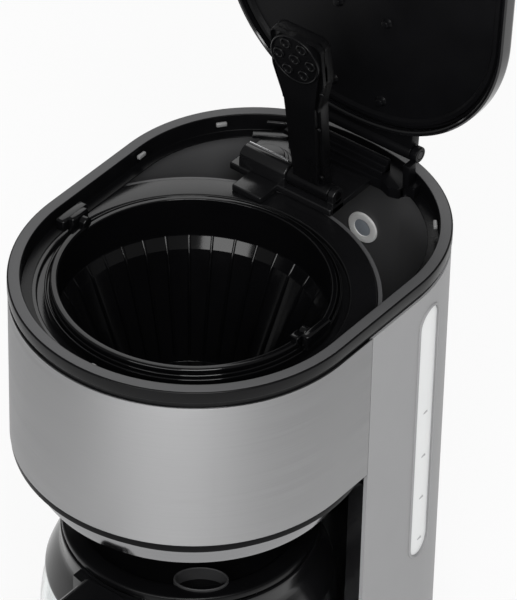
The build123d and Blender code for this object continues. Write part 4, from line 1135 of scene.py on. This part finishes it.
overflow_low, overflow_high = span("overflow_grommet")
flange_face = overflow_low.y
overflow_z = (overflow_low.z + overflow_high.z) / 2
flange_growth = 0.8
flange_radius = (overflow_high.z - overflow_low.z) / 2 + flange_growth
flange_height = 1.2
screen_radius = 4.8
sleeve_radius = 6.0
sleeve_end = overflow_high.y
overflow_place = Matrix.Translation((0, flange_face, overflow_z)) @ Matrix.Rotation(pi / 2, 4, "X")
flange_outline = rounded(
    [
        (screen_radius, 0.0, plain_edge),
        (flange_radius, 0.0, worn_edge),
        (flange_radius, -flange_height, crisp_edge),
        (sleeve_radius, -flange_height, 0),
        (sleeve_radius, flange_face - sleeve_end, crisp_edge),
        (screen_radius, flange_face - sleeve_end, crisp_edge),
    ]
)
flange = placed(lathe(flange_outline, steps=64), overflow_place)
piece("overflow_ring", "machine", light_plastic, "light_plastic", [flange], "overflow_grommet")
screen_outline = [
    (screen_radius + 0.2, -flange_height),
    (screen_radius + 0.2, -0.6),
    (screen_radius - 0.4, -0.5),
    (0.5, -0.4),
]
screen = placed(disc_stack(screen_outline), overflow_place)
piece("overflow_screen", "machine", screen_grey, "tank_grey", [screen])


# Raised frame round the level window, and its scale marks

window_low, window_high = span("water_window")
window_y = (window_low.y + window_high.y) / 2
window_half = (window_high.y - window_low.y) / 2
frame_gap = 0.3
frame_width = 1.8
frame_rise = 0.7


def shell_x(y, rise):
    """How far to the right the shell's skin lies behind the straight side, raised by an amount."""
    return corner_x + sqrt((corner_radius + rise) ** 2 - max(y - side_length, 0.0) ** 2)


def slot_points(grow):
    """Outline of the window's slot in (y, z), grown outwards."""
    radius = window_half + grow
    top = window_high.z - window_half
    bottom = window_low.z + window_half
    return arc((window_y, top), radius, 0, 180, 20) + arc((window_y, bottom), radius, 180, 180, 20)


frame_section = [(frame_gap, -0.5), (frame_gap, 0.3), (frame_gap + 0.4, frame_rise),
                 (frame_width - 0.4, frame_rise), (frame_width, 0.3), (frame_width, -0.5)]
frame_paths = [[(shell_x(y, rise), y, z) for y, z in slot_points(grow)] for grow, rise in frame_section]
frame_mesh = skin([list(section) for section in zip(*frame_paths)], True)
piece("window_frame", "machine", silver_paint, "silver_shell", [frame_mesh])

mark_heights = [145.0, 172.0, 199.0, 227.0]
mark_half = 2.2
mark_thickness = 0.5
mark_depth = 0.3
mark_face = shell_x(window_y, 0) - 0.75
mark_size = Vector((mark_depth / 2, mark_half, mark_thickness))
marks = []
for z in mark_heights:
    middle = Vector((mark_face + mark_depth / 2, window_y, z))
    marks.append(block(middle - mark_size, middle + mark_size, hair_edge))
piece("scale_marks", "machine", mark_grey, "clear_window", marks)


# CAD nodes that keep their own shape get the finished materials

node_materials = [
    (satin_black, "base_shell bottom_cover thermostat column_front carafe_handle switch_body"),
    (rubber, "foot_ring plate_gasket valve_seal cord_bush"),
    (plated_steel, "bottom_screws bracket_screws handle_screw"),
    (plate_coating, "warming_plate"),
    (cast_aluminium, "heater_body"),
    (sheet_steel, "heater_bracket hose_clamps"),
    (light_plastic, "thermal_fuse check_valve drip_valve"),
    (silicone, "feed_hose riser_hose"),
    (tank_grey, "water_tank"),
    (milky_window, "water_window"),
    (silver_paint, "outer_shell"),
    (dark_steel, "lid_pins arm_pin"),
    (jug_glass, "carafe_glass"),
    (gloss_black, "power_button"),
    (lamp_red, "lamp_lens"),
]
for material, names in node_materials:
    for name in names.split():
        for material_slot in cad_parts[name].material_slots:
            material_slot.material = material


# Floor and world: white to the camera, soft grey light otherwise


def seen_by(tree, *kinds):
    """1 for rays of the given kinds, otherwise 0."""
    path = tree.nodes.new("ShaderNodeLightPath")
    rays = [path.outputs[f"Is {kind} Ray"] for kind in kinds]
    total = rays[0]
    for ray in rays[1:]:
        larger = tree.nodes.new("ShaderNodeMath")
        larger.operation = "MAXIMUM"
        tree.links.new(total, larger.inputs[0])
        tree.links.new(ray, larger.inputs[1])
        total = larger.outputs["Value"]
    return total


floor_size = 12.0
floor_glow = 0.85
room_light = 0.55
glossy_drop = -0.35
floor_mesh = bpy.data.meshes.new("floor")
floor_corners = [(x, y, 0.0) for x, y in ((-1, -1), (1, -1), (1, 1), (-1, 1))]
floor_mesh.from_pydata([Vector(corner) * floor_size / 2 for corner in floor_corners], [], [(0, 1, 2, 3)])
floor = bpy.data.objects.new("floor", floor_mesh)
bpy.context.scene.collection.objects.link(floor)
floor_paint, tree, surface, place = shader("floor_paint")
floor_tone = tint(tree, noise(tree, place, 3.0), (0.9, 0.9, 0.9), (0.92, 0.92, 0.92))
tree.links.new(floor_tone, surface.inputs["Base Color"])
surface.inputs["Roughness"].default_value = 0.9
surface.inputs["Specular IOR Level"].default_value = 0.1
glow = tree.nodes.new("ShaderNodeEmission")
blend = tree.nodes.new("ShaderNodeMixShader")
lift = tree.nodes.new("ShaderNodeMath")
lift.operation = "MULTIPLY"
lift.inputs[1].default_value = floor_glow
tree.links.new(seen_by(tree, "Camera", "Glossy", "Transmission"), lift.inputs[0])
tree.links.new(lift.outputs["Value"], blend.inputs["Fac"])
tree.links.new(surface.outputs["BSDF"], blend.inputs[1])
tree.links.new(glow.outputs["Emission"], blend.inputs[2])
tree.links.new(blend.outputs["Shader"], tree.nodes["Material Output"].inputs["Surface"])
floor_mesh.materials.append(floor_paint)

world = bpy.data.worlds.new("studio")
bpy.context.scene.world = world
world.use_nodes = True
tree = world.node_tree
background = tree.nodes["Background"]
background.inputs["Color"].default_value = (1, 1, 1, 1)
strength = tree.nodes.new("ShaderNodeMapRange")
strength.inputs["To Min"].default_value = room_light
strength.inputs["To Max"].default_value = 1.0
tree.links.new(seen_by(tree, "Camera", "Transmission"), strength.inputs["Value"])
dimmed = tree.nodes.new("ShaderNodeMath")
dimmed.operation = "MULTIPLY_ADD"
dimmed.inputs[1].default_value = glossy_drop
tree.links.new(seen_by(tree, "Glossy"), dimmed.inputs[0])
tree.links.new(strength.outputs["Result"], dimmed.inputs[2])
tree.links.new(dimmed.outputs["Value"], background.inputs["Strength"])


def softbox(name, place, target, width, height, power):
    """A rectangular area light aimed at a point, in metres and watts."""
    light = bpy.data.lights.new(name, "AREA")
    light.shape = "RECTANGLE"
    light.size = width
    light.size_y = height
    light.energy = power
    obj = bpy.data.objects.new(name, light)
    obj.location = place
    obj.rotation_euler = (Vector(target) - Vector(place)).to_track_quat("-Z", "Y").to_euler()
    bpy.context.scene.collection.objects.link(obj)


softbox("front_light", (0.24, -1.2, 0.86), (0, 0, 0.3), 0.9, 0.42, 6.0)
softbox("back_light", (-0.99, 1.32, 1.56), (0, 0, 0.3), 1.2, 1.2, 7.0)
softbox("camera_light", (1.0, -1.0, 1.7), (0, 0.1, 0.3), 0.8, 0.8, 21.0)


# Camera at the photograph's viewing angle

camera_azimuth = radians(36.97)
camera_height = radians(38.74)
camera_roll = radians(1.35)
camera_distance = 2475.17
camera_target = Vector((0, 52.05, 266.5))
photo_focal_pixels = 5049.74
photo_long_side = 600
sensor = 36.0

right = Vector((cos(camera_azimuth), sin(camera_azimuth), 0))
reach = cos(camera_height)
back = Vector((sin(camera_azimuth) * reach, -cos(camera_azimuth) * reach, sin(camera_height)))
up = back.cross(right)
rolled_right = cos(camera_roll) * right + sin(camera_roll) * up
rolled_up = -sin(camera_roll) * right + cos(camera_roll) * up
camera_data = bpy.data.cameras.new("camera")
camera_data.sensor_width = sensor
camera_data.lens = photo_focal_pixels / photo_long_side * sensor
camera_data.clip_end = 50.0
camera = bpy.data.objects.new("camera", camera_data)
camera_place = Matrix.Identity(4)
camera_place.col[0][:3] = rolled_right
camera_place.col[1][:3] = rolled_up
camera_place.col[2][:3] = back
camera_place.col[3][:3] = (camera_target + back * camera_distance) * MM
camera.matrix_world = camera_place
bpy.context.scene.collection.objects.link(camera)
bpy.context.scene.camera = camera
bpy.context.scene.view_settings.view_transform = "Standard"
